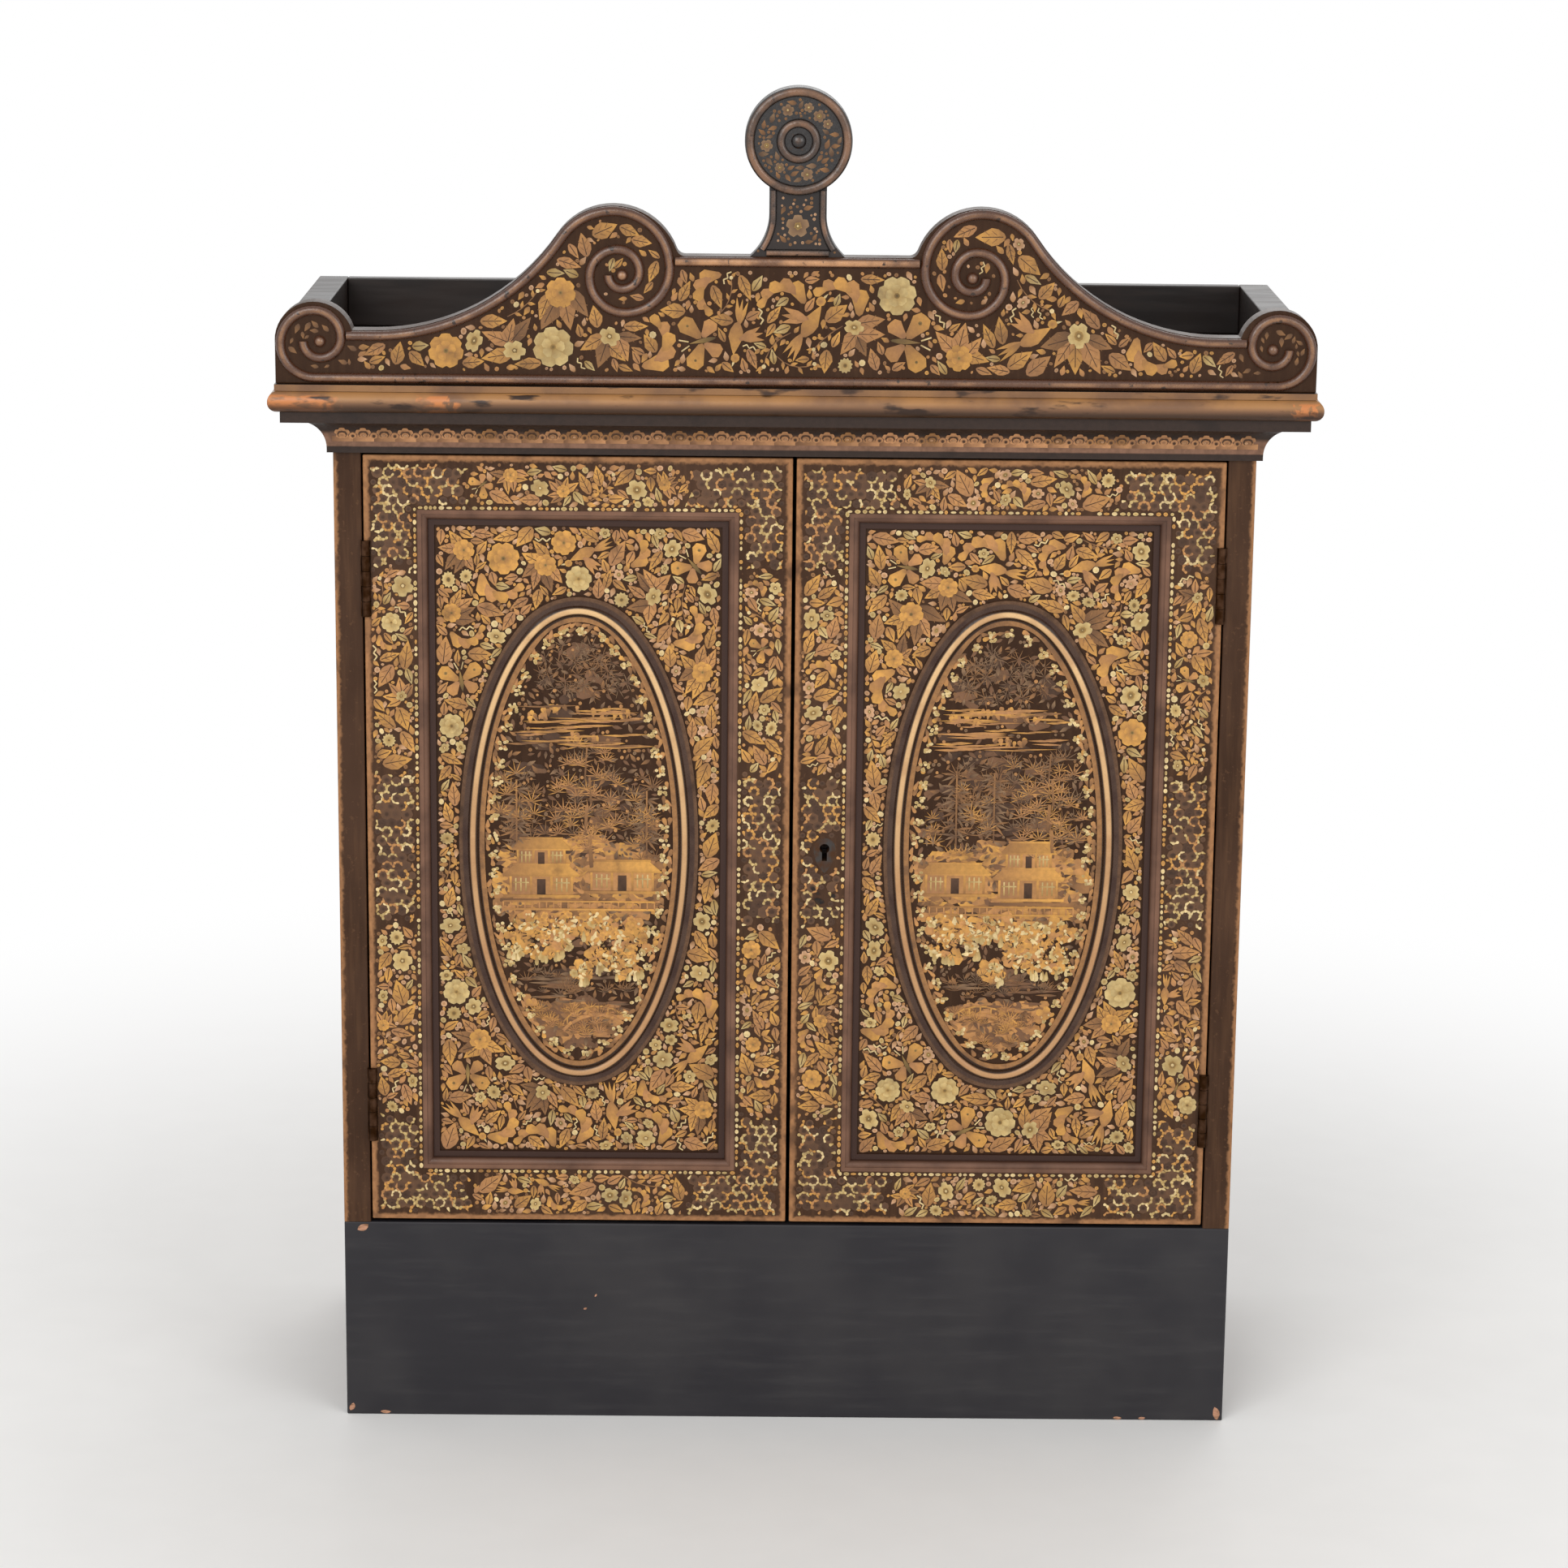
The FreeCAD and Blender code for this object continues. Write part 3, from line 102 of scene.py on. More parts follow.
class CabinetColours(bpy.types.PropertyGroup):
    """The colours of the lacquers, the gilding and the bare materials."""

    ground: colour("Ground", "Brown-black lacquer under the gilding", "#2e1a0b")
    ground_rubbed: colour("Rubbed ground", "Lacquer where it has been handled", "#51392a")
    moulding: colour("Moulding", "Brown lacquer of the panel mouldings", "#382219")
    # The lighter end of the mouldings: rubbed lacquer and a painted highlight.
    moulding_rubbed_and_lit: colour("Rubbed moulding", "Brown lacquer rubbed along the mouldings", "#7b5844")
    band: colour("Band", "Dark lacquer beside the gilt beads", "#4a3529")
    cove: colour("Cove", "Brown gold in the cornice's hollow", "#8a6651")
    edge: colour("Edge", "Brown-gold lines along the door edges", "#a87850")
    plinth: colour("Plinth", "Charcoal-black lacquer of the plinth", "#1f1d22")
    tray: colour("Tray", "Black lacquer of the tray and the finial", "#1b1513")
    gold: colour("Gold", "Warm gold of leaves and birds", "#d9a04f")
    cream: colour("Cream gold", "Pale greenish gold of the flowers", "#d3b97f")
    amber: colour("Amber gold", "Browner gold of the under-leaves", "#c48d50")
    dull: colour("Dull gold", "Rubbed brown gold", "#a07245")
    peach: colour("Peach", "Pinkish buds and dots", "#d8ac86")
    olive: colour("Olive", "Greenish gold at the roots of petals", "#a8854a")
    olive_dark: colour("Dark olive", "Hearts of the flowers", "#4f4126")
    grey: colour("Grey", "Faded foliage", "#957656")
    brown: colour("Brown", "Brown washes in the oval views", "#7b573d")
    pale: colour("Pale gold", "Bright dashes and dots", "#e5cb98")
    scale: colour("Scale", "Grey-brown scales of the diaper", "#664831")
    bead: colour("Bead", "Brown lacquer of the half-round beads", "#4b2c1b")
    # Rubbed gold and painted highlight on the crowns of the beads, and the bright end of the copper gilding.
    bead_crown_and_highlight: colour("Bead crown", "Rubbed gold on the crowns of the beads", "#bd8a5e")
    # Gilt crown of the oval beads, with a painted highlight that is strongest at the top.
    bead_gilt_highlight: colour("Bright bead", "Gilt crown of the oval beads", "#deb683")
    nosing: colour("Nosing", "Brown gold of the cornice's nosing", "#76543a")
    bare_orange: colour("Orange wood", "Wood rubbed bare on the nosing", "#c27a45")
    bare_wood: colour("Bare wood", "Pinkish wood under chipped lacquer", "#b9876a")
    pit: colour("Pits", "Dark pits in the lacquer under the keyhole", "#080504")
    inner_wood: colour("Inner wood", "Thin reddish wash on the boards inside", "#5a3423")
    brass: colour("Brass", "Dulled brass of the fittings", "#8a6b3c")
    iron: colour("Iron", "Filed iron of the lock", "#4a4745")
    floor: colour("Floor", "Pale studio floor", "#f4f3f1")


class CabinetSizes(bpy.types.PropertyGroup):
    """The sizes that a maker would change."""

    arris: length("Arris", "Radius of the softened board edges", 0.8)
    relief: length("Relief", "Height of the gilding above the lacquer", 0.22)
    sink: length("Sink", "Depth of the gilding below the lacquer's face", 0.1)
    cell: length("Cell", "Grid that the gilding is laid out on", 0.5)
    gap: length("Gap", "Dark lacquer left between motifs", 0.5)
    moulding: length("Moulding", "Width of the panel mouldings", 9)
    oval_frame: length("Oval frame", "Width of the applied frame round each oval", 14)
    oval_outer: length("Oval outer", "From the crown of each oval bead to the outside of its frame", 7.6)
    edge_line: length("Edge line", "Width of the lines along the door edges", 3.2)
    seed: IntProperty(name="Seed", description="Start of the random layout", default=7, min=0)


class CabinetCamera(bpy.types.PropertyGroup):
    """Where the camera stands and how it looks."""

    place: FloatVectorProperty(name="Place", description="Position of the camera", subtype="TRANSLATION",
                               unit="LENGTH", size=3, default=(-0.0182, -2.40685, 0.9385))
    yaw: angle("Yaw", "Turn to the right", 0.347)
    pitch: angle("Pitch", "Tilt downwards", 13.732)
    roll: angle("Roll", "Turn about the line of sight", 0.584)
    lens: FloatProperty(name="Lens", description="Focal length on a 36 mm sensor", subtype="DISTANCE_CAMERA",
                        unit="CAMERA", default=99.3)


# Shared helpers

def deselect():
    if bpy.context.object and bpy.context.object.mode != "OBJECT":
        bpy.ops.object.mode_set(mode="OBJECT")
    bpy.ops.object.select_all(action="DESELECT")


def make_active(piece):
    deselect()
    piece.select_set(True)
    bpy.context.view_layer.objects.active = piece


def new_object(name, data):
    """An object in the scene that holds a mesh, a lamp or a camera."""
    made = bpy.data.objects.new(name, data)
    bpy.context.scene.collection.objects.link(made)
    return made


def pick(piece, kind, test):
    """In edit mode, select the vertices or edges that pass a test of their mesh element."""
    bpy.ops.mesh.select_mode(type=kind)
    bpy.ops.mesh.select_all(action="DESELECT")
    bpy.ops.object.mode_set(mode="OBJECT")
    for element in piece.data.vertices if kind == "VERT" else piece.data.edges:
        element.select = test(element)
    bpy.ops.object.mode_set(mode="EDIT")


def joined_box(names):
    """The box round several nodes."""
    boxes = [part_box(name) for name in names]
    low = Vector(min(box[0][axis] for box in boxes) for axis in range(3))
    high = Vector(max(box[1][axis] for box in boxes) for axis in range(3))
    return low, high


def front_box(*names):
    """The box round some nodes as seen from the front, in millimetres, and how far forward it comes."""
    low, high = joined_box(names)
    return np.array((low.x, low.z)) / MM, np.array((high.x, high.z)) / MM, low.y / MM


def door_members(hand):
    """The boards of a door's frame."""
    return [f"{hand}_{part}" for part in ("hinge_stile", "meeting_stile", "top_rail", "bottom_rail")]


# Node kinds that the materials use: Blender's node, the sockets to fill in order, the output, the settings
KINDS = {
    "place": ("TexCoord", (), "Object", {}),
    "paint": ("Attribute", (), "Color", {"attribute_name": "paint"}),
    "mix": ("Mix", (0, 6, 7), 2, {"data_type": "RGBA"}),
    "spread": ("MapRange", (0, 1, 2, 3, 4), 0, {"interpolation_type": "SMOOTHSTEP"}),
    "noise": ("TexNoise", ("Vector", "Scale", "Detail"), 0, {}),
    "stretch": ("Mapping", ("Vector", "Scale"), 0, {}),
    "x": ("SeparateXYZ", (0,), 0, {}),
    "y": ("SeparateXYZ", (0,), 1, {}),
    "z": ("SeparateXYZ", (0,), 2, {}),
    "times": ("Math", (0, 1), 0, {"operation": "MULTIPLY"}),
    "plus": ("Math", (0, 1), 0, {"operation": "ADD"}),
    "over": ("Math", (0, 1), 0, {"operation": "DIVIDE"}),
    "lesser": ("Math", (0, 1), 0, {"operation": "MINIMUM"}),
    "greater": ("Math", (0, 1), 0, {"operation": "MAXIMUM"}),
    "size": ("Math", (0,), 0, {"operation": "ABSOLUTE"}),
    "from": ("VectorMath", (0, 1), 0, {"operation": "SUBTRACT"}),
    "folded": ("VectorMath", (0,), 0, {"operation": "ABSOLUTE"}),
    "scaled": ("VectorMath", (0, 1), 0, {"operation": "MULTIPLY"}),
    "dimmed": ("VectorMath", (0, "Scale"), 0, {"operation": "SCALE"}),
    "reach": ("VectorMath", (0,), "Value", {"operation": "LENGTH"}),
    "bump": ("Bump", ("Height", "Distance", "Strength"), 0, {}),
    "camera ray": ("LightPath", (), "Is Camera Ray", {}),
    "glossy ray": ("LightPath", (), "Is Glossy Ray", {}),
    "transmission ray": ("LightPath", (), "Is Transmission Ray", {}),
    "emission": ("Emission", ("Strength",), 0, {}),
    "either": ("MixShader", (0, 1, 2), 0, {}),
}


def add_node(tree, kind, *values):
    """Add a node with its settings; each value, or link from another node, fills the next socket."""
    label, sockets, output, settings = KINDS[kind]
    made = tree.nodes.new(f"ShaderNode{label}")
    for name, value in settings.items():
        setattr(made, name, value)
    for name, value in zip(sockets, values):
        socket = made.inputs[name]
        if isinstance(value, bpy.types.NodeSocket):
            tree.links.new(value, socket)
        else:
            socket.default_value = (*value, 1) if socket.type == "RGBA" else value
    return made.outputs[output]


def new_material(name):
    """An empty material with its shader, a way to add nodes to it, and the piece's own coordinates."""
    material = bpy.data.materials.new(name)
    material.use_nodes = True
    tree = material.node_tree
    return SimpleNamespace(material=material, tree=tree, shader=tree.nodes["Principled BSDF"],
                           add=partial(add_node, tree), place=add_node(tree, "place"))


def blotches(made, millimetres, low=0.3, high=0.7, bottom=0, top=1, detail=3, stretch=None):
    """A share that drifts from bottom to top in blotches of about that size, drawn out if stretched."""
    place = made.add("stretch", made.place, stretch) if stretch else made.place
    cloud = made.add("noise", place, 1 / (millimetres * MM), detail)
    return made.add("spread", cloud, low, high, bottom, top)


BUMP_STRENGTH = 0.6


def finish_surface(made, base, texture, rough, bump_mm, gloss=0.5, metallic=0):
    """Link the colour, bump and roughness; roughness is a range over the texture or a share of its own."""
    inputs = made.shader.inputs
    inputs["Metallic"].default_value = metallic
    inputs["Specular IOR Level"].default_value = gloss
    if isinstance(rough, tuple):
        rough = made.add("spread", texture, 0, 1, *rough)
    normal = made.add("bump", texture, bump_mm * MM, BUMP_STRENGTH)
    for name, link in (("Base Color", base), ("Roughness", rough), ("Normal", normal)):
        made.tree.links.new(link, inputs[name])
    return made.material


# Materials; sizes of blotches and bumps are in millimetres

def worn_gold(made, bright, dark):
    """Brown gold, rubbed away in patches."""
    wear = blotches(made, 16, 0.28, 0.46, 0.25, 1, 4)
    share = made.add("times", wear, blotches(made, 3, bottom=0.6))
    return made.add("mix", share, dark, bright)


def brown_lacquer(name, colours, box=None, line=0, rubbed=1.0):
    """Tree lacquer, brushed and polished: deep brown, lighter where hands have rubbed it.

    Given a box, a worn brown-gold line runs along that box's outline on the front.
    """
    made = new_material(name)
    base = colours.ground
    for share, paint in (
        (blotches(made, 60, 0.3, 0.7, 0.25 * rubbed, 0.65 * rubbed, 5), colours.ground_rubbed),
        (blotches(made, 3, 0.4, 0.75, 0, 0.3 * rubbed, 4, (1, 1, 0.08)), colours.scale),
        (blotches(made, 2.2, 0.62, 0.72, 0, 0.4 * rubbed), colours.scale),
    ):
        base = made.add("mix", share, base, paint)
    if box:
        gold = worn_gold(made, colours.edge, colours.ground_rubbed)
        base = made.add("mix", edge_share(made, box, line), base, gold)
    rough = blotches(made, 34, bottom=0.3, top=0.46)
    return finish_surface(made, base, blotches(made, 1.6), rough, 0.03, gloss=0.14)


def edge_share(made, box, line):
    """One along the outline of a box seen from the front, fading inwards with a ragged side."""
    middle, half = (box[0] + box[1]) / 2, (box[1] - box[0]) / 2
    folded = made.add("folded", made.add("from", made.place, middle))
    inwards = made.add("from", half, folded)
    nearest = made.add("lesser", made.add("x", inwards), made.add("z", inwards))
    ragged = made.add("plus", nearest, blotches(made, 3, top=1.4 * MM))
    front = made.add("spread", made.add("y", made.place), box[0].y + 4 * MM, box[0].y + 2 * MM)
    return made.add("times", front, made.add("spread", ragged, line + 1.6 * MM, line - 0.6 * MM))


def plain_lacquer(name, main, faded):
    """Plain black lacquer on wood: satin, with faint brush lines along its length."""
    made = new_material(name)
    along = (0.12, 1, 1)
    base = made.add("mix", blotches(made, 60, 0.35, 0.7, 0, 0.2), main, faded)
    base = made.add("mix", blotches(made, 5, 0.5, 0.8, 0, 0.14, stretch=along), base, faded)
    return finish_surface(made, base, blotches(made, 5, stretch=along), (0.36, 0.46), 0.03, gloss=0.4)


def moulding_lacquer(name, colours, box):
    """Brown lacquer on a run moulding: lighter towards its front, rubbed and with a painted highlight, and
    darker behind in its quirks as painted shade.
    """
    made = new_material(name)
    depth = made.add("y", made.place)
    # Painted highlight and shade: lighter towards the front of the moulding, partly as rubbing, darker behind
    # it.
    rubbed = made.add("spread", depth, 0.7 * box[1].y + 0.3 * box[0].y, box[0].y)
    share = made.add("times", rubbed, blotches(made, 24, 0.3, 0.65, 0.35, 1, 4))
    base = made.add("mix", share, colours.moulding, colours.moulding_rubbed_and_lit)
    rough = blotches(made, 20, bottom=0.3, top=0.42)
    return finish_surface(made, base, blotches(made, 1.4), rough, 0.04, gloss=0.3)


def powdered_gold(name, colours):
    """Powdered gold on tacky lacquer: matt metal, brushed thin in places and rubbed through to the ground."""
    made = new_material(name)
    base = made.add("mix", blotches(made, 2.6, bottom=0.24, top=0), made.add("paint"), colours.scale)
    base = made.add("mix", blotches(made, 17, 0.58, 0.74, 0, 0.5, 5), base, colours.ground_rubbed)
    return finish_surface(made, base, blotches(made, 0.7), (0.42, 0.6), 0.03, gloss=0.35, metallic=0.2)


def rubbed_bead(name, box, hollow, crown, ground):
    """Brown-gold lacquer on a half-round bead: lighter on the crown as rubbed gold and a painted highlight,
    darker in the hollows as painted shade.
    """
    made = new_material(name)
    depth = made.add("y", made.place)
    # Painted highlight and shade: lighter towards the bead's front, darker towards its back, mixed with
    # rubbing.
    height = made.add("spread", depth, 0.35 * box[1].y + 0.65 * box[0].y, box[0].y)
    share = made.add("times", height, blotches(made, 14, 0.34, 0.66, 0.2, 1, 4))
    base = made.add("mix", share, hollow, crown)
    base = made.add("mix", blotches(made, 4, 0.62, 0.7, detail=4), base, ground)
    return finish_surface(made, base, blotches(made, 1.2), (0.22, 0.36), 0.05, gloss=0.6)


def washed_wood(name, main, colours):
    """Softwood boards under a thin red-brown wash, with the grain along their length."""
    made = new_material(name)
    grain = blotches(made, 4, detail=5, stretch=(0.06, 1, 1))
    base = made.add("mix", grain, main, colours.ground_rubbed)
    base = made.add("mix", blotches(made, 90, 0.4, 0.7, 0, 0.24), base, colours.ground)
    return finish_surface(made, base, grain, (0.5, 0.7), 0.15, gloss=0.3)


def old_metal(name, main, shade, rough):
    """Rolled and filed metal, dulled by handling: fine scratches and darker tarnish in patches."""
    made = new_material(name)
    base = made.add("mix", blotches(made, 6, 0.35, 0.7, detail=4), main, shade)
    scratch = blotches(made, 0.8, stretch=(1, 1, 0.1))
    return finish_surface(made, base, scratch, (rough, rough + 0.2), 0.02, metallic=1)


def cornice_lacquer(name, colours):
    """Brown lacquer rubbed in the hollow of a run moulding, black above and below it."""
    made = new_material(name)
    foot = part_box("cornice_front")[0].z
    rise = made.add("z", made.place)
    base = worn_gold(made, colours.cove, colours.ground_rubbed)
    for first, last in ((9.5, 13), (4, 3)):
        black = made.add("spread", rise, foot + first * MM, foot + last * MM, 0, 0.9)
        base = made.add("mix", black, base, colours.tray)
    return finish_surface(made, base, blotches(made, 1.4), (0.34, 0.46), 0.05, gloss=0.25)


# Middle and half length of each place along the nosing that is rubbed to the wood, in millimetres
RUBBED_PLACES = ((-266, 22), (-192, 10), (272, 7))


def nosing_lacquer(name, colours, box):
    """Brown gold on a rounded edge, with a painted highlight along its upper round and painted shade on its
    underside, rubbed to bare orange wood in places; the deck inside stays black.
    """
    made = new_material(name)
    rise, depth = made.add("z", made.place), made.add("y", made.place)
    foot, top, back = box[0].z, box[1].z, box[1].y
    base = worn_gold(made, colours.nosing, colours.brown)
    # Painted highlight: the upper part of the round is lightened towards amber in blotches.
    upper = made.add("spread", rise, foot + 5 * MM, foot + 8.5 * MM, 0, 0.5)
    bright = made.add("times", upper, blotches(made, 40, 0.35, 0.6, detail=4))
    base = made.add("mix", bright, base, colours.amber)
    fibres = blotches(made, 5, 0.38, 0.5, 0.15, 1, 5, (0.4, 1, 1))
    ragged = blotches(made, 4, bottom=-5 * MM, top=5 * MM, detail=4)
    under_lip = made.add("spread", rise, top - 4.5 * MM, top - 6 * MM)
    for middle, half in RUBBED_PLACES:
        away = made.add("size", made.add("plus", made.add("x", made.place), -middle * MM))
        near = made.add("spread", made.add("plus", away, ragged), half * MM, 0.6 * half * MM)
        share = made.add("times", made.add("times", near, under_lip), fibres)
        base = made.add("mix", share, base, colours.bare_orange)
    brushed = blotches(made, 5, 0.4, 0.8, 0, 0.5, 4, (0.12, 1, 1))
    black = made.add("mix", brushed, colours.tray, colours.band)
    dark = blotches(made, 8, 0.58, 0.68, detail=4, stretch=(0.3, 1, 1))
    base = made.add("mix", dark, base, colours.ground)
    # The first entry is painted shade on the underside, darker towards the foot; the second dulls the upper
    # fillet; the last two keep the deck black.
    for place, first, last, most, paint in (
        (rise, foot + 6.5 * MM, foot + 2.5 * MM, 0.85, colours.ground),
        (rise, top - 3.9 * MM, top - 3.2 * MM, 0.35, colours.ground_rubbed),
        (rise, top - 0.15 * MM, top - 0.05 * MM, 1, black),
        (depth, back - 1.2 * MM, back - 0.4 * MM, 1, black),
    ):
        base = made.add("mix", made.add("spread", place, first, last, 0, most), base, paint)
    rough = blotches(made, 60, bottom=0.3, top=0.44)
    return finish_surface(made, base, blotches(made, 1.4), rough, 0.05, gloss=0.4)


def oval_lacquer(name, colours, box, outer):
    """A half-round bead gilt on its crown, lighter towards the top as a painted highlight, a worn gold ring
    inside, dark quirks of painted shade and a dark band outside.
    """
    made = new_material(name)
    middle, half = (box[0] + box[1]) / 2, (box[1] - box[0]) / 2
    wide, tall = half.x - outer, half.z - outer
    centred = made.add("from", made.place, middle)
    reach = made.add("reach", made.add("scaled", centred, (1 / wide, 0, 1 / tall)))
    slope = made.add("reach", made.add("scaled", centred, (1 / wide ** 2, 0, 1 / tall ** 2)))
    away = made.add("over", made.add("times", made.add("plus", reach, -1), reach), slope)
    # Painted highlight: the gilt crown is lighter towards the top of the oval and duller towards its bottom.
    height = made.add("over", made.add("z", centred), tall)
    lit = made.add("spread", height, -0.6, 0.9, 0.3, 1)
    painted_top_highlight = made.add("times", blotches(made, 16, 0.3, 0.6, 0.5, 1, 4), lit)
    gilt = made.add("mix", painted_top_highlight, colours.edge, colours.bead_gilt_highlight)
    band = made.add("mix", blotches(made, 12, 0.35, 0.7), colours.band, colours.moulding)
    base = worn_gold(made, colours.dull, colours.scale)
    # The gilt crown fades into thin dark lines of ground on both sides, between crown and ring and between
    # crown and band: painted shade in the quirks.
    for place, first, last, paint in (
        (away, -4.0, -3.3, colours.ground),
        (made.add("size", away), 1.9, 0.9, gilt),
        (away, 2.2, 3.2, band),
        (away, 5.2, 6.2, worn_gold(made, colours.scale, colours.ground)),
    ):
        base = made.add("mix", made.add("spread", place, first * MM, last * MM), base, paint)
    return finish_surface(made, base, blotches(made, 1.2), (0.24, 0.36), 0.04, gloss=0.3)


def bare_wood(name, colours):
    """Split softwood under chipped lacquer: pinkish, with short dark fibres."""
    made = new_material(name)
    grain = blotches(made, 1.5, 0.4, 0.7, detail=4, stretch=(0.25, 1, 1))
    base = made.add("mix", grain, colours.bare_wood, colours.brown)
    return finish_surface(made, base, grain, (0.6, 0.8), 0.1)


# Stage

FLOOR_SIZE = 30
FLOOR_FADE = (0.35, 1.1)
WORLD_LIGHT = 0.55
LAMPS = (
    # name, place and size in metres, watts
    ("key", (-1.1, -2.5, 1.7), 1.8, 38),
    ("fill", (1.7, -2.2, 1.3), 1.6, 20),
    ("back", (0.3, 1.9, 2.0), 1.8, 18),
)


def seen_directly(tree):
    """One for what the camera sees, also in a reflection or through glass, and nought for light."""
    seen = add_node(tree, "greater", add_node(tree, "camera ray"), add_node(tree, "glossy ray"))
    return add_node(tree, "greater", seen, add_node(tree, "transmission ray"))


class CABINET_OT_stage(bpy.types.Operator):
    """Lay the floor, hang the lights and set the camera"""

    bl_idname = "cabinet.stage"
    bl_label = "Stage"

    def execute(self, context):
        scene = context.scene
        scene.view_settings.view_transform = "Standard"
        self.floor(scene.cabinet_colours)
        self.world(scene)
        for lamp in LAMPS:
            self.lamp(*lamp)
        self.camera(scene)
        return {"FINISHED"}

    def floor(self, colours):
        """Matt pale paper that fades to white away from the cabinet, as the camera sees it."""
        deselect()
        bpy.ops.mesh.primitive_plane_add(size=FLOOR_SIZE)
        floor = bpy.context.object
        floor.name = "floor"
        made = new_material("matt_paper")
        made.shader.inputs["Roughness"].default_value = 0.9
        paper = made.add("dimmed", colours.floor, blotches(made, 40, bottom=0.985))
        made.tree.links.new(paper, made.shader.inputs["Base Color"])
        far = made.add("spread", made.add("reach", made.place), *FLOOR_FADE)
        share = made.add("times", far, seen_directly(made.tree))
        both = made.add("either", share, made.shader.outputs[0], made.add("emission", 1.0))
        made.tree.links.new(both, made.tree.nodes["Material Output"].inputs["Surface"])
        floor.data.materials.append(made.material)

    def world(self, scene):
        """Even white light, and plain white where the camera sees it."""
        world = bpy.data.worlds.new("studio")
        world.use_nodes = True
        tree = world.node_tree
        background = tree.nodes["Background"]
        seen = add_node(tree, "spread", seen_directly(tree), 0, 1, WORLD_LIGHT, 1)
        tree.links.new(seen, background.inputs["Strength"])
        background.inputs["Color"].default_value = (1, 1, 1, 1)
        scene.world = world

    def lamp(self, name, place, size, watts):
        """A square soft lamp that faces the middle of the cabinet."""
        data = bpy.data.lights.new(name, "AREA")
        data.size = size
        data.energy = watts
        lamp = new_object(name, data)
        target = (CAD_BOX[0] + CAD_BOX[1]) / 2
        lamp.location = place
        lamp.rotation_euler = (target - Vector(place)).to_track_quat("-Z", "Y").to_euler()

    def camera(self, scene):
        view = scene.cabinet_camera
        data = bpy.data.cameras.new("camera")
        data.sensor_width = 36
        data.lens = view.lens
        camera = new_object("camera", data)
        turn = Matrix.Rotation(-view.yaw, 4, "Z") @ Matrix.Rotation(QUARTER - view.pitch, 4, "X")
        camera.matrix_world = Matrix.Translation(view.place) @ turn @ Matrix.Rotation(view.roll, 4, "Z")
        scene.camera = camera


# Boards

SIDE_LINE_SHARE = 0.65
LINE_BOX_REACH = 0.2
MERGE_WITHIN = 0.002 * MM
ON_PLANE = 0.01 * MM


class CABINET_OT_boards(bpy.types.Operator):
    """Soften the arrises of the lacquered boards"""

    bl_idname = "cabinet.boards"
    bl_label = "Boards"

    def execute(self, context):
        colours, sizes = context.scene.cabinet_colours, context.scene.cabinet_sizes
        self.radius = sizes.arris
        black = plain_lacquer("charcoal_lacquer", colours.plinth, colours.iron)
        tray = plain_lacquer("black_lacquer_ground", colours.tray, colours.band)
        brown = brown_lacquer("polished_lacquer", colours, rubbed=0.4)
        for hand in HANDS:
            box = joined_box(door_members(hand))
            lacquer = brown_lacquer(f"{hand}_door_lacquer", colours, box, sizes.edge_line)
            for name in door_members(hand):
                self.soften(name, lacquer, "brown_lacquer", f"{hand}_door", box)
            side = f"side_{hand}"
            line = SIDE_LINE_SHARE * sizes.edge_line
            lacquer = brown_lacquer(f"{side}_lacquer", colours, outer_line_box(side), line)
            self.soften(side, lacquer, "brown_lacquer")
            self.soften(f"gallery_{hand}", tray, "black_lacquer")
        self.soften("plinth_front", black, "black_lacquer")
        self.soften("gallery_back", tray, "black_lacquer")
        self.soften("gallery_front", brown, "brown_lacquer")
        return {"FINISHED"}

    def soften(self, node, material, slot, body="carcase", box=None):
        """A copy of a board whose edges along its own box, or a larger one, are rounded."""
        board = new_object(f"{node}_softened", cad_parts[node].data.copy())
        make_active(board)
        bpy.ops.object.mode_set(mode="EDIT")
        bpy.ops.mesh.select_all(action="SELECT")
        bpy.ops.mesh.remove_doubles(threshold=MERGE_WITHIN)
        bpy.ops.mesh.dissolve_limited(angle_limit=math.radians(0.5))
        places, box = board.data.vertices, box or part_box(node)
        pick(board, "EDGE", lambda edge: on_arris([places[index].co for index in edge.vertices], box))
        bpy.ops.mesh.bevel(offset=self.radius, segments=3, affect="EDGES", clamp_overlap=False)
        bpy.ops.object.mode_set(mode="OBJECT")
        bpy.ops.object.shade_flat()
        board.data.materials.clear()
        board.data.materials.append(material)
        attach(board, body)
        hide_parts(node)


def outer_line_box(side):
    """The box of a side board, drawn inwards, up and down, so that only its outer edge is near."""
    low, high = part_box(side)
    reach = LINE_BOX_REACH if side.endswith("left") else -LINE_BOX_REACH
    ends = sorted((low.x, high.x, low.x + reach))
    return (Vector((ends[0], low.y, low.z - LINE_BOX_REACH)),
            Vector((ends[-1], high.y, high.z + LINE_BOX_REACH)))


def on_arris(ends, box):
    """Whether an edge lies along an edge of a box: its ends share two of the box's faces."""
    planes = [(axis, corner[axis]) for corner in box for axis in range(3)]
    return sum(all(abs(end[axis] - plane) < ON_PLANE for end in ends) for axis, plane in planes) >= 2


# Finishes of the pieces that keep their CAD shape

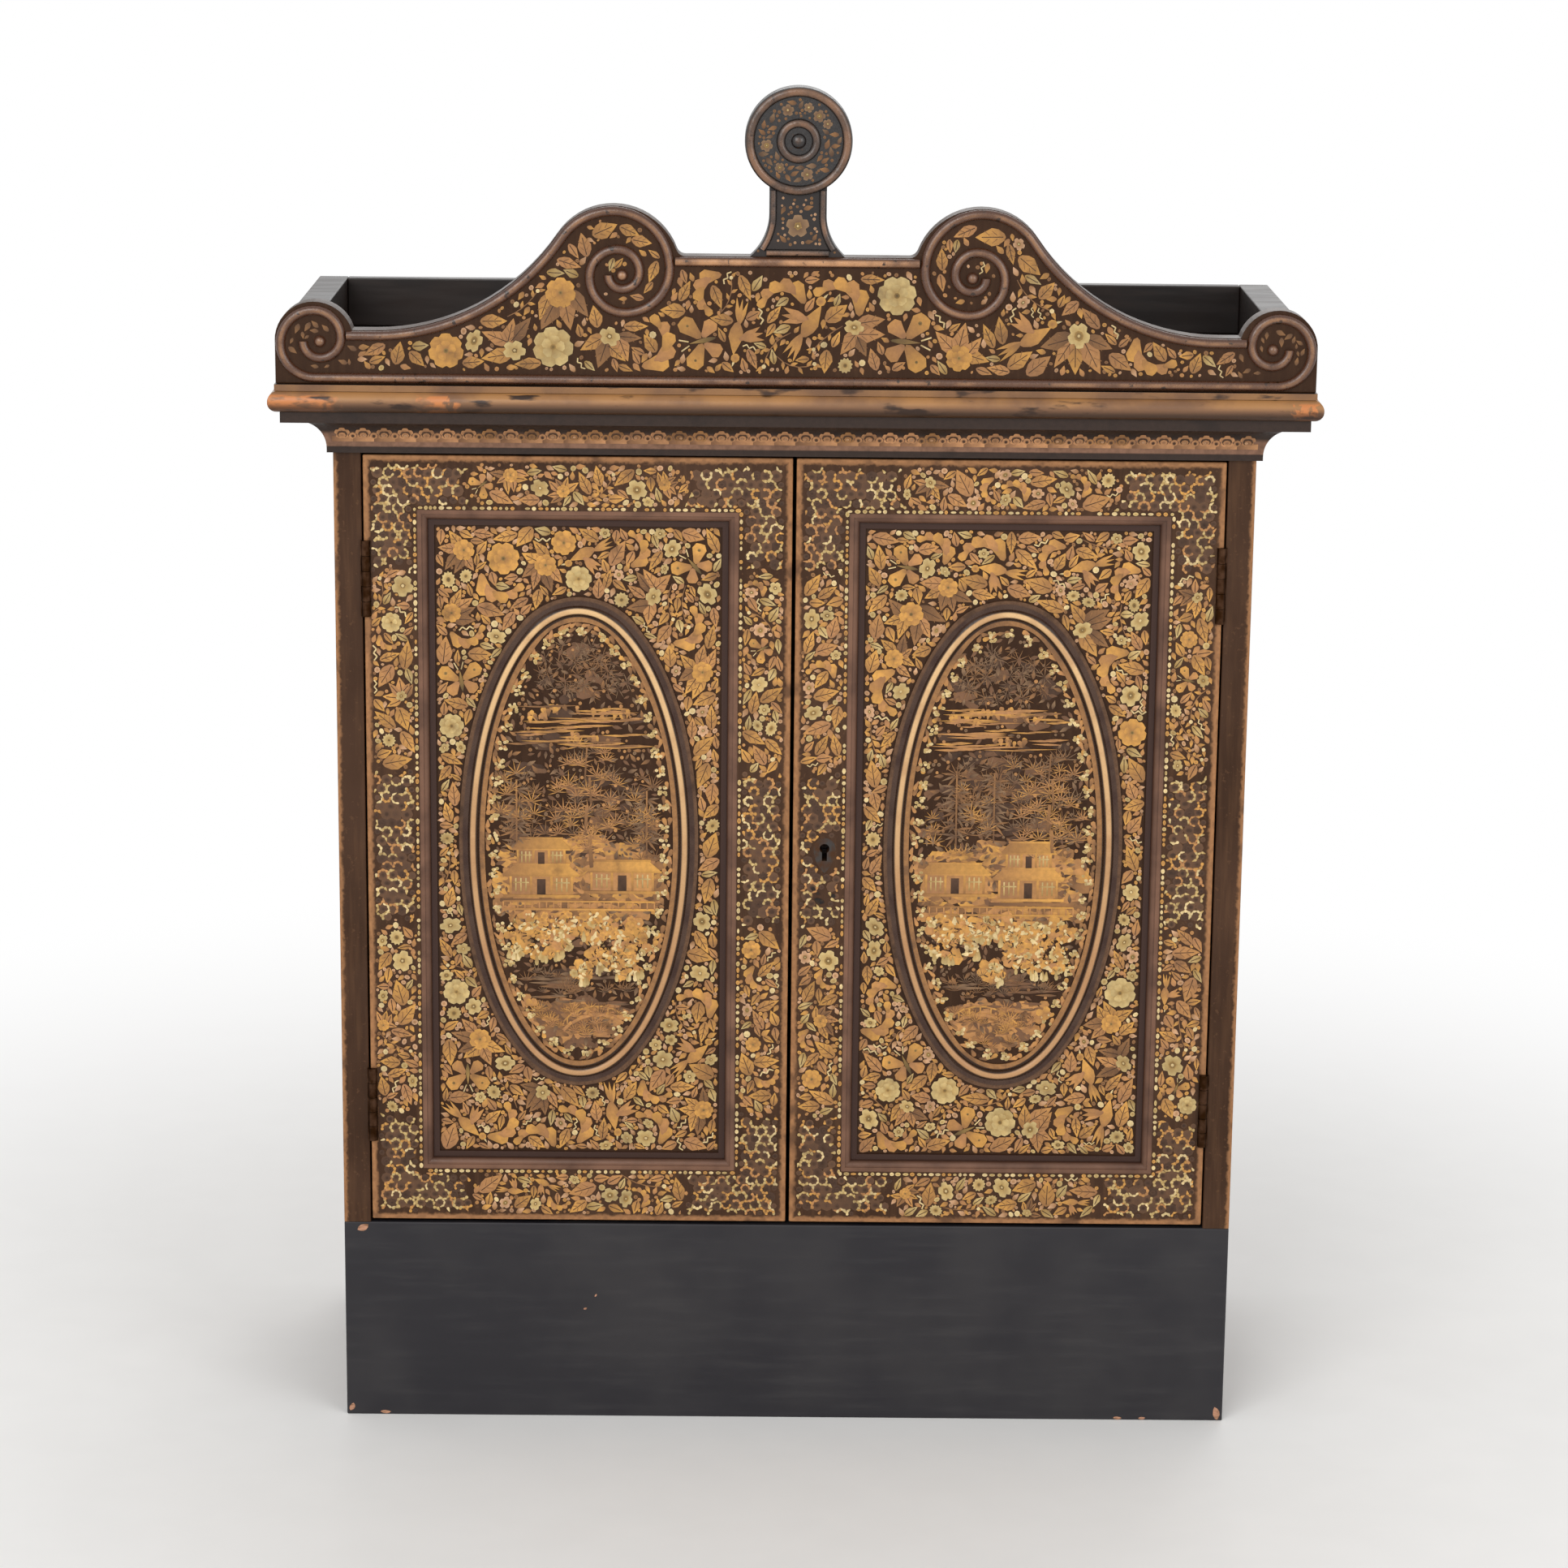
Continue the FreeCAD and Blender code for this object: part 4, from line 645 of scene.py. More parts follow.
class CABINET_OT_finishes(bpy.types.Operator):
    """Finish the mouldings, beads, inner boards and metal fittings"""

    bl_idname = "cabinet.finishes"
    bl_label = "Finishes"

    def execute(self, context):
        colours, sizes = context.scene.cabinet_colours, context.scene.cabinet_sizes
        made = bpy.data.materials
        for material, names in (
            (made["polished_lacquer"], ("front_top_rail", "left_panel", "right_panel")),
            (made["black_lacquer_ground"], ("finial_post",)),
            (moulding_lacquer("moulding_lacquer", colours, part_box("left_panel_moulding")),
             ("left_panel_moulding", "right_panel_moulding")),
            (nosing_lacquer("nosing_lacquer", colours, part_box("top_board")), ("top_board",)),
            (cornice_lacquer("cornice_lacquer", colours), ("cornice_front", "cornice_left", "cornice_right")),
            (washed_wood("washed_softwood", colours.inner_wood, colours),
             ("back_board_lower", "back_board_middle", "back_board_upper", "plinth_blocks", "lower_shelf",
              "upper_shelf", "shelf_bearers", "door_stops", "carcase_bottom")),
            (old_metal("painted_brass", colours.ground, colours.ground_rubbed, 0.36),
             ("frame_hinge_leaves", "hinge_pins", "left_door_hinge_leaves", "right_door_hinge_leaves")),
            (old_metal("tarnished_brass", colours.brass, colours.scale, 0.3),
             ("slide_bolt_plates", "strike_plate", "upper_slide_bolt", "lower_slide_bolt",
              "frame_hinge_screws", "left_door_hinge_screws", "right_door_hinge_screws")),
            (old_metal("filed_iron", colours.iron, colours.ground_rubbed, 0.36),
             ("lock_case", "lock_cap", "lock_screws", "lock_bolt", "escutcheon")),
        ):
            for name in names:
                self.assign(name, material)
        for names, hollow, crown in (
            (GALLERY_BEADS, colours.bead, colours.bead_crown_and_highlight),
            (("finial_roundel", "finial_beads"), colours.tray, colours.brown),
        ):
            for name in names:
                self.assign(name, rubbed_bead(f"{name}_lacquer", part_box(name), hollow, crown, colours.ground))
        for hand in HANDS:
            bead = f"{hand}_oval_bead"
            self.assign(bead, oval_lacquer(f"{hand}_oval_lacquer", colours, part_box(bead), sizes.oval_outer))
        return {"FINISHED"}

    def assign(self, name, material):
        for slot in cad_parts[name].material_slots:
            slot.material = material


# Shapes that the gilding repeats

SAME, STAY = (1, 1, 1), (0, 0, 0)
CROWN_RISE = 0.8


def between_lobes(count, depth):
    """A test for the rim's corners between a number of lobes."""
    return lambda place: place.xy.length > 0.1 and math.cos(count * math.atan2(place.y, place.x)) < depth


# Each shape: corners and turn of its disc, whether its paint runs outwards from the middle, and what is drawn
# in or out: a test of the corners, a scale and a move
SHAPES = {
    "leaf": (12, QUARTER, False, (
        (lambda place: True, (1, 0.9, 1), STAY),
        (lambda place: place.x > 0.2, (1, 0.72, 1), STAY),
        (lambda place: place.x > 0.48, SAME, (0.14, 0, 0)),
        (lambda place: place.x < -0.4, (1, 0.8, 1), (-0.05, 0, 0)),
    )),
    "petal": (10, QUARTER, False, (
        (lambda place: place.x < -0.1, (1, 0.6, 1), (-0.08, 0, 0)),
        (lambda place: place.x > 0.48, (0.86, 1, 1), STAY),
    )),
    "bloom": (20, QUARTER, True, ((between_lobes(5, -0.9), (0.74, 0.74, 1), STAY),)),
    "fringed": (24, QUARTER, True, ((between_lobes(12, 0), (0.8, 0.8, 1), STAY),)),
    "dot": (8, 0, True, ()),
    "bar": (4, math.pi / 4, False, ()),
    "roof": (4, math.pi / 4, False, ((lambda place: place.y > 0.1, (0.66, 1, 1), STAY),)),
    "chip": (9, 0, True, (
        (lambda place: place.x > 0.2 and place.y > 0, (1.2, 0.8, 1), STAY),
        (lambda place: place.x < -0.1 and place.y < -0.2, (0.7, 0.9, 1), STAY),
    )),
}


def model_shape(corners, turn, radial, drawn):
    """Model a disc with a low crown, draw its corners in or out, and read it as arrays one unit across.

    grade runs from 0 at the root to 1 at the tip, or from the middle to the rim of a radial shape.
    """
    deselect()
    bpy.ops.mesh.primitive_cylinder_add(vertices=corners, radius=0.5, depth=1, end_fill_type="TRIFAN",
                                        location=(0, 0, 0.5), rotation=(0, 0, turn))
    disc = bpy.context.object
    bpy.ops.object.transform_apply(location=True, rotation=True, scale=True)
    bpy.ops.object.mode_set(mode="EDIT")
    pick(disc, "VERT", lambda corner: corner.co.z > 0.9 and corner.co.xy.length < 0.01)
    bpy.ops.transform.translate(value=(0, 0, CROWN_RISE))
    for test, scale, move in drawn:
        pick(disc, "VERT", lambda corner: test(corner.co))
        bpy.ops.transform.resize(value=scale, center_override=STAY)
        bpy.ops.transform.translate(value=move)
    bpy.ops.object.mode_set(mode="OBJECT")
    mesh = disc.data
    points = np.array([corner.co for corner in mesh.vertices])
    span = np.ptp(points[:, :2], axis=0)
    points[:, :2] = (points[:, :2] - points[:, :2].min(axis=0)) / span - 0.5
    faces = [tuple(face.vertices) for face in mesh.polygons]
    rim = [index for index, place in enumerate(points) if 0.9 < place[2] < 1.1]
    rim.sort(key=lambda index: math.atan2(points[index, 1], points[index, 0]))
    grade = np.clip(2 * np.hypot(points[:, 0], points[:, 1]), 0, 1) if radial else points[:, 0] + 0.5
    bpy.data.objects.remove(disc)
    bpy.data.meshes.remove(mesh)
    return SimpleNamespace(points=points, faces=faces, rim=rim, grade=grade, crown=points[:, 2] > 1.5)


# Motifs in millimetres, each a list of parts: shape, place (u, v), turn, length, width, tone, level

def ahead(reach, turn, u=0.0, v=0.0):
    """The place so far from another one, in the direction of a turn."""
    return u + reach * math.cos(turn), v + reach * math.sin(turn)


def turned(parts, u, v, turn, scale=1.0):
    """The parts of a motif, turned and moved to a place."""
    cosine, sine = scale * math.cos(turn), scale * math.sin(turn)
    return [(shape, u + cosine * pu - sine * pv, v + sine * pu + cosine * pv, angle + turn, scale * long,
             scale * wide, tone, level) for shape, pu, pv, angle, long, wide, tone, level in parts]


def lifted(parts, steps):
    """The parts of a motif, laid over others."""
    return [(*part[:7], part[7] + steps) for part in parts]


def single(shape, size, share, tone, level=0):
    return [(shape, 0, 0, 0, size, size * share, tone, level)]


def ring(shape, count, radius, size, width, tone, level, start=0.0):
    """Copies of a shape that point outwards from a middle."""
    turns = [start + step * math.tau / count for step in range(count)]
    return [(shape, *ahead(radius, turn), turn, size, width, tone, level) for turn in turns]


def blossom(size, tone="cream", squash=1.0):
    return (single("bloom", size, squash, tone) + single("dot", 0.42 * size, squash, "olive", 1)
            + single("dot", 0.15 * size, squash, "pale", 2))


def aster(size, squash):
    return single("fringed", size, squash, "cream") + single("dot", 0.36 * size, squash, "olive", 1)


def peony(size, tone="gold"):
    return (ring("petal", 7, 0.3 * size, 0.44 * size, 0.4 * size, tone, 0)
            + ring("petal", 5, 0.15 * size, 0.3 * size, 0.28 * size, tone, 2, 0.4)
            + single("dot", 0.16 * size, 1, "olive", 3))


def veined_leaf(size, share, tone):
    """A leaf with a dark midrib, and side veins if it is large."""
    parts = single("leaf", size, share, tone) + [("bar", -0.06 * size, 0, 0, 0.7 * size, 0.4, "dark", 4)]
    if size > 10:
        for step in (-0.13, 0.12):
            for side in (1, -1):
                place = (step * size, side * 0.22 * share * size)
                parts.append(("bar", *place, side * 0.7, 0.22 * size, 0.3, "dull", 3))
    return parts


def spray(size, rng):
    """Leaves that overlap round a flower."""
    parts = []
    count = rng.integers(4, 7)
    start = rng.uniform(0, math.tau)
    for step in range(count):
        turn = start + (step + rng.uniform(-0.3, 0.3)) * 0.7
        reach = size * rng.uniform(0.26, 0.36)
        leaf = veined_leaf(size * rng.uniform(0.42, 0.6), rng.uniform(0.42, 0.56),
                           rng.choice(["gold", "amber", "dull"]))
        parts += turned(leaf, *ahead(reach, turn), turn + rng.uniform(-0.5, 0.5))
    flower = peony(0.42 * size) if rng.random() < 0.6 else blossom(0.36 * size, "cream", rng.uniform(0.75, 1))
    return parts + lifted(flower, 5)


def butterfly(size):
    parts = [("leaf", 0, -0.02, QUARTER, 0.5, 0.09, "olive", 3)]
    for side in (1, -1):
        parts += [
            ("petal", side * 0.25, 0.14, QUARTER - side * 0.95, 0.5, 0.34, "gold", 1),
            ("petal", side * 0.18, -0.16, -QUARTER + side * 0.75, 0.36, 0.28, "amber", 0),
            ("dot", side * 0.32, 0.19, 0, 0.09, 0.09, "olive", 2),
            ("bar", side * 0.07, 0.32, QUARTER - side * 0.4, 0.18, 0.025, "pale", 0),
        ]
    return turned(parts, 0, 0, 0, size)


def bird(size):
    """A bird that flies to the right, with three wing feathers and three long tail feathers."""
    parts = [
        ("leaf", 0, 0, 0.35, 0.46, 0.2, "gold", 1),
        ("dot", 0.24, 0.12, 0, 0.13, 0.12, "gold", 2),
        ("leaf", 0.32, 0.13, 0.1, 0.1, 0.03, "pale", 1),
    ]
    for step in range(3):
        wing = math.pi - 0.5 - 0.34 * step
        root = (-0.06 + 0.1 * math.cos(wing), 0.14 + 0.03 * step)
        parts.append(("leaf", *root, wing, 0.34, 0.1, "amber", 2 + step))
        tail = math.pi + 0.12 + 0.2 * step
        parts.append(("leaf", -0.36, -0.06 - 0.05 * step, tail, 0.34, 0.06, "gold", step))
    return turned(parts, 0, 0, 0, size)


def sprig(size, bend, leaves=5):
    """A bent stem with leaves on both sides and a bud at its end."""
    parts = []
    turn = -bend / 2
    u, v = -size / 2, 0.0
    step, leaf = size / leaves, 0.2 * size
    for index in range(leaves):
        parts.append(("bar", *ahead(step / 2, turn, u, v), turn, step, 0.5, "dull", 0))
        u, v = ahead(step, turn, u, v)
        lean = turn + (0.8 if index % 2 else -0.8)
        parts.append(("leaf", *ahead(leaf / 2, lean, u, v), lean, leaf, 0.45 * leaf, "gold", 1))
        turn += bend / leaves
    return parts + [("dot", u, v, 0, 0.1 * size, 0.1 * size, "pale", 2)]


def curled_leaf(size):
    """A large acanthus-like leaf: overlapping lobes along an arc."""
    parts = []
    for step in range(5):
        turn = -0.9 + 0.5 * step
        tone = "amber" if step % 2 else "gold"
        parts.append(("petal", *ahead(0.36 * size, turn), turn + 1.25, (0.4 - 0.04 * step) * size,
                      (0.27 - 0.03 * step) * size, tone, step % 3))
    return parts


def squiggle(size):
    turns = (-0.7, 0.7, -0.7, 0.7)
    return [("bar", (step - 1.5) * 0.24 * size, 0, turn, 0.32 * size, 0.09 * size, "pale", step % 2)
            for step, turn in enumerate(turns)]


def curl(radius, wide, tone, count):
    """A round-ended stroke bent into part of a ring."""
    turns = [0.85 * step for step in range(count)]
    return [("petal", *ahead(radius, turn), turn + QUARTER, 1.1 * radius, wide, tone, 4 + step % 2)
            for step, turn in enumerate(turns)]


def tuft(size, count, spread_by, tone):
    """Thin blades that fan out from a root."""
    parts = []
    for step in range(count):
        share = step / (count - 1) - 0.5
        turn = QUARTER + spread_by * share
        reach = size * (0.8 + 0.2 * math.cos(2.2 * share))
        parts.append(("leaf", *ahead(reach / 2, turn), turn, reach, 0.08 * size, tone, step % 2))
    return parts


def rock(size, tone="amber"):
    return (ring("petal", 5, 0.22 * size, 0.5 * size, 0.4 * size, tone, 0, 0.3)
            + ring("petal", 3, 0.1 * size, 0.36 * size, 0.3 * size, "gold", 2, 0.9))


def sown(shape, low, high, share, *tones):
    """A maker of loose leaves or dots: a length between two sizes, a share of it as width, and a tone."""
    return lambda rng: single(shape, rng.uniform(low, high), share, rng.choice(tones))


# Layout

def inside(outline, us, vs):
    """Which points lie inside an outline."""
    result = np.zeros(np.shape(us), bool)
    for (u1, v1), (u2, v2) in zip(outline, np.roll(outline, -1, axis=0)):
        if v1 != v2:
            result ^= ((v1 > vs) != (v2 > vs)) & (us < (u2 - u1) * (vs - v1) / (v2 - v1) + u1)
    return result


def grown(mask, steps):
    """A mask that reaches further by a number of cells."""
    for _ in range(steps):
        wide = mask.copy()
        wide[1:] |= mask[:-1]
        wide[:-1] |= mask[1:]
        wide[:, 1:] |= mask[:, :-1]
        wide[:, :-1] |= mask[:, 1:]
        mask = wide
    return mask


def rectangle(low, high):
    return [(low[0], low[1]), (high[0], low[1]), (high[0], high[1]), (low[0], high[1])]


def rectangle_sides(low, high):
    """Each side of a rectangle: where it starts, the way that it runs and its length."""
    corners = rectangle(low, high)
    for (u1, v1), (u2, v2) in zip(corners, corners[1:] + corners[:1]):
        yield (u1, v1), math.atan2(v2 - v1, u2 - u1), math.hypot(u2 - u1, v2 - v1)


def ellipse(middle, half, corners=96):
    turns = np.linspace(0, math.tau, corners, endpoint=False)
    return np.column_stack([middle[0] + half[0] * np.cos(turns), middle[1] + half[1] * np.sin(turns)])


def circle(middle, radius):
    return ellipse(middle, (radius, radius))


class Field:
    """The part of a face that gold may still cover, as a grid of free cells, in millimetres."""

    MARGIN = 40

    def __init__(self, low, high, cell):
        self.cell = cell
        self.low = np.array(low) - self.MARGIN
        count = ((np.array(high) + self.MARGIN - self.low) / cell).astype(int) + 1
        self.us, self.vs = np.meshgrid(*(self.low[axis] + cell * np.arange(count[axis]) for axis in (0, 1)))
        self.free = np.zeros(self.us.shape, bool)

    def window(self, outline):
        """The part of the grid round an outline."""
        first = np.clip(((np.min(outline, axis=0) - self.low) / self.cell).astype(int), 0, None)
        last = ((np.max(outline, axis=0) - self.low) / self.cell).astype(int) + 2
        return np.s_[first[1]:last[1], first[0]:last[0]]

    def set(self, outline, value):
        """Free or block the cells inside an outline."""
        part = self.window(outline)
        self.free[part][inside(np.array(outline), self.us[part], self.vs[part])] = value

    def cover(self, node, value, reach=0.0):
        """Free or block the cells that a node covers, seen from the front, and some more round them."""
        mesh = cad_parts[node].data
        points = np.array([corner.co for corner in mesh.vertices])[:, FRONT_AXES] / MM
        mask = np.zeros_like(self.free)
        for face in mesh.polygons:
            triangle = points[list(face.vertices)]
            part = self.window(triangle)
            mask[part] |= inside(triangle, self.us[part], self.vs[part])
        self.free[grown(mask, round(reach / self.cell))] = value

    def holds(self, outline):
        """Whether the field is free under all of an outline's corners."""
        cells = np.round((outline - self.low) / self.cell).astype(int)
        cells = np.clip(cells, 0, np.array(self.free.shape[::-1]) - 1)
        return self.free[cells[:, 1], cells[:, 0]].all()

    def find(self, mask, spots, tries, rng):
        """One of some places, picked at random, where a mask fits."""
        reach = mask.shape[0] // 2
        for index in rng.integers(len(spots), size=tries):
            row, column = spots[index]
            if self.free[row, column]:
                window = self.free[row - reach:row + reach + 1, column - reach:column + reach + 1]
                if window.shape == mask.shape and not (mask & ~window).any():
                    return row, column
        return None

    def take(self, mask, row, column):
        """Block the cells of a mask round a place, and give that place in millimetres."""
        reach = mask.shape[0] // 2
        self.free[row - reach:row + reach + 1, column - reach:column + reach + 1] &= ~mask
        return self.us[row, column], self.vs[row, column]


class Gilding:
    """Gold on one face: copies of the modelled shapes, gathered into one mesh."""

    LEVEL_STEP, LIFT_STRAY = 0.05, 0.03
    RIM_SHARE = 0.55
    GRADE_RANGE, GRADE_STRAY = (0.8, 1.2), 0.15
    LIGHT_RANGE = (0.84, 1.08)
    # Crown points of each shape are painted lighter: a painted highlight.
    CROWN_HIGHLIGHT = 1.08
    WASH_LEAN = 0.5
    TRIES = 60

    def __init__(self, name, seat, sizes, tones, shapes, seed):
        self.name, self.seat, self.tones, self.shapes = name, seat, tones, shapes
        self.relief, self.sink = sizes.relief / MM, sizes.sink / MM
        self.cell, self.gap = sizes.cell / MM, sizes.gap / MM
        self.rng = np.random.default_rng(seed)
        self.points, self.faces, self.paint, self.count = [], [], [], 0
        self.raised = 0.0

    def on_face(self, points, part):
        """Points of a unit shape, put where a part lies on the face."""
        _, u, v, turn, long, wide = part[:6]
        cosine, sine = math.cos(turn), math.sin(turn)
        return points * (long, wide) @ np.array([[cosine, sine], [-sine, cosine]]) + (u, v)

    def outline(self, part):
        """A part's outline on the face."""
        shape = self.shapes[part[0]]
        return self.on_face(shape.points[shape.rim, :2], part)

    def lay(self, parts, light=1.0):
        """Lay the parts of a motif as they are."""
        for part in parts:
            shape, tone, level = self.shapes[part[0]], *part[6:]
            flat = self.on_face(shape.points[:, :2], part)
            lift = self.raised + self.LEVEL_STEP * level + self.rng.uniform(0, self.LIFT_STRAY)
            height = np.where(shape.points[:, 2] < 0.5, -self.sink, self.RIM_SHARE * self.relief + lift)
            height = np.where(shape.crown, self.relief + lift, height)
            self.points.append(self.seat(flat, height))
            self.faces += [tuple(corner + self.count for corner in face) for face in shape.faces]
            self.count += len(flat)
            dark, bright = self.tones[tone]
            share = shape.grade * self.rng.uniform(*self.GRADE_RANGE)
            share = np.clip(share + self.rng.uniform(-self.GRADE_STRAY, self.GRADE_STRAY), 0, 1)[:, None]
            paint = (dark * (1 - share) + bright * share) * light * self.rng.uniform(*self.LIGHT_RANGE)
            # The crown is painted lighter as a highlight.
            self.paint.append(np.where(shape.crown[:, None], paint * self.CROWN_HIGHLIGHT, paint))

    def scatter(self, field, motif, count, turns=4, light=1.0, within=True):
        """Lay a motif, made anew each time, wherever it fits with its middle within some cells."""
        spots = np.argwhere(field.free & within)
        if not len(spots):
            return
        for _ in range(count):
            for _ in range(turns):
                parts = turned(motif(self.rng), 0, 0, self.rng.uniform(0, math.tau))
                mask = self.stamp(parts)
                spot = field.find(mask, spots, self.TRIES, self.rng)
                if spot:
                    u, v = field.take(grown(mask, round(self.gap / self.cell)), *spot)
                    self.lay(turned(parts, u, v, 0), light)
                    break

    def wash(self, spots, count, long, tones):
        """Lay broad flat strokes that overlap, for later strokes to stand on."""
        for u, v in spots[self.rng.integers(len(spots), size=count)]:
            size = self.rng.uniform(*long)
            turn = self.rng.uniform(-self.WASH_LEAN, self.WASH_LEAN) + math.pi * self.rng.integers(2)
            self.lay([("petal", u, v, turn, size, 0.5 * size, self.rng.choice(tones), 0)])

    def stamp(self, parts):
        """The cells that a motif covers, round its own middle."""
        outlines = [self.outline(part) for part in parts]
        reach = int(max(np.abs(outline).max() for outline in outlines) / self.cell) + 3
        line = self.cell * np.arange(-reach, reach + 1)
        us, vs = np.meshgrid(line, line)
        mask = np.zeros(us.shape, bool)
        for outline in outlines:
            mask |= inside(outline, us, vs)
        return mask

    def build(self, material, body, slot="gilt_bead"):
        """Make the mesh, with each point's paint as an attribute."""
        mesh = bpy.data.meshes.new(self.name)
        mesh.from_pydata(np.concatenate(self.points) * MM, [], self.faces)
        paint = mesh.attributes.new("paint", "FLOAT_COLOR", "POINT")
        colours = np.concatenate(self.paint)
        paint.data.foreach_set("color", np.column_stack([colours, np.ones(len(colours))]).ravel())
        mesh.materials.append(material)
        piece = new_object(self.name, mesh)
        make_active(piece)
        bpy.ops.object.shade_smooth_by_angle(angle=math.radians(40))
        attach(piece, body)


def front_seat(face):
    """Places on a face that looks along -Y."""
    return lambda flat, height: np.column_stack([flat[:, 0], face - height, flat[:, 1]])


def side_seat(face, sign):
    """Places on a face that looks along -X or +X; u runs backwards on the right and forwards on the left."""
    return lambda flat, height: np.column_stack([sign * (face + height), sign * flat[:, 0], flat[:, 1]])


def palette(colours):
    """The paints of the gilding, each from its shade to its full colour."""
    pairs = {
        "gold": (colours.dull, colours.gold),
        "amber": (colours.edge, colours.amber),
        "cream": (colours.olive, colours.cream),
        "olive": (colours.olive_dark, colours.olive),
        "pale": (colours.cream, colours.pale),
        "peach": (colours.dull, colours.peach),
        "dull": (colours.scale, colours.dull),
        "grey": (colours.ground_rubbed, colours.grey),
        "brown": (colours.scale, colours.brown),
        "dark": (colours.ground, colours.ground_rubbed),
        "scale": (colours.ground_rubbed, colours.scale),
        "wood": (colours.bare_wood, colours.bare_wood),
        "copper": (colours.brown, colours.bead_crown_and_highlight),
        "pit": (colours.pit, colours.pit),
    }
    return {name: (np.array(dark), np.array(bright)) for name, (dark, bright) in pairs.items()}


class GildingOperator:
    """What the gilding operators share."""

    def execute(self, context):
        scene = context.scene
        self.sizes, self.colours = scene.cabinet_sizes, scene.cabinet_colours
        self.tones = palette(self.colours)
        self.shapes = {name: model_shape(*shape) for name, shape in SHAPES.items()}
        made = bpy.data.materials.get("powdered_gold")
        self.material = made or powdered_gold("powdered_gold", self.colours)
        self.gild()
        return {"FINISHED"}

    def start(self, name, seat, number):
        """A gilding whose random layout has a number of its own."""
        return Gilding(name, seat, self.sizes, self.tones, self.shapes, [self.sizes.seed, number])


def strew_flowers(gilding, field, plenty, large=1.0, pale=1.0, light=1.0, fine=1.0):
    """Fill a field from the largest motifs down to dots.

    plenty is the field's size in panels, large scales the large motifs, and pale and fine the counts of pale
    flowers and of small leaves and dots.
    """
    def lay(motif, count, **options):
        gilding.scatter(field, motif, round(count * plenty), light=light, **options)

    def leaf(low, high, *tones):
        return lambda rng: veined_leaf(rng.uniform(low, high), rng.uniform(0.42, 0.62), rng.choice(tones))

    def dot(low, high, *tones):
        return lambda rng: single("dot", rng.uniform(low, high), rng.uniform(0.7, 1), rng.choice(tones))

    lay(lambda rng: bird(large * rng.uniform(32, 40)), 4)
    lay(lambda rng: butterfly(large * rng.uniform(22, 27)), 3)
    lay(lambda rng: spray(large * rng.uniform(24, 32), rng), 8)
    lay(lambda rng: curled_leaf(large * rng.uniform(24, 34)), 10)
    lay(lambda rng: peony(large * rng.uniform(13, 18), rng.choice(["gold", "gold", "cream"])), 5)
    lay(lambda rng: blossom(rng.uniform(9.5, 12.5), "cream", rng.uniform(0.7, 1)), 11 * pale)
    lay(lambda rng: aster(rng.uniform(7.5, 9.5), rng.uniform(0.7, 1)), 8 * pale)
    gap, gilding.gap = gilding.gap, 0
    lay(lambda rng: sprig(rng.uniform(20, 26), rng.uniform(0.3, 1.4)), 8)
    lay(leaf(11, 17, "gold", "gold", "amber"), 60)
    lay(lambda rng: squiggle(rng.uniform(6, 9)), 14)
    lay(lambda rng: blossom(rng.uniform(6, 8), rng.choice(["cream", "peach"]), rng.uniform(0.7, 1)),
        20 * pale)
    lay(leaf(7, 10, "gold", "amber", "cream"), 130 * fine)
    lay(dot(2.8, 4, "peach", "pale", "cream"), 100 * pale, turns=1)
    lay(sown("leaf", 4, 6, 0.55, "gold", "peach", "amber"), 300 * fine)
    lay(dot(1.6, 2.6, "peach", "gold", "dull", "amber"), 520 * fine, turns=1)
    gilding.gap = gap


BESIDE_MOULDING = 0.6


class CABINET_OT_panels(GildingOperator, bpy.types.Operator):
    """Gild the door panels round their ovals"""

    bl_idname = "cabinet.panels"
    bl_label = "Panel gilding"

    def gild(self):
        for number, hand in enumerate(HANDS):
            low, high, _ = front_box(f"{hand}_panel_moulding")
            oval_low, oval_high, _ = front_box(f"{hand}_oval_bead")
            face = front_box(f"{hand}_panel")[2]
            band = self.sizes.moulding / MM + BESIDE_MOULDING
            field = Field(low, high, self.sizes.cell / MM)
            field.set(rectangle(low + band, high - band), True)
            field.cover(f"{hand}_oval_bead", False, BESIDE_MOULDING)
            field.set(ellipse((oval_low + oval_high) / 2, (oval_high - oval_low) / 2), False)
            gilding = self.start(f"{hand}_panel_gilding", front_seat(face), 10 + number)
            strew_flowers(gilding, field, 1)
            gilding.build(self.material, f"{hand}_door")


# The door frames' layout in millimetres: beside the edge line, round the opening, and under the keyhole
BESIDE_LINE = 0.8
EDGING_OUT = 1.2
SCALES_OUT = 2.2
CARTOUCHE_OUT = 2.4
KEY_MARGIN = 1.0
WORN_BELOW, WORN_LEFT, WORN_RADIUS = 14, 1, 4
# Where the stiles' flowered fields start and end, and how far in the rails' fields start, as shares
STILE_FIELDS = ((0.135, 0.405), (0.59, 0.865))
RAIL_INSET_SHARE = 0.14
# One half of a field's pointed end, in shares of its half width: outwards and along
SHOULDER_SHARES = ((0, 0), (0.3, 0.32), (0.62, 0.36), (0.72, 0.62), (1, 0.8))
FRAME_FLOWERS = 0.62
SCALE_PITCH, SCALE_RISE, SCALE_STRAY = 5.4, 4.9, 0.4


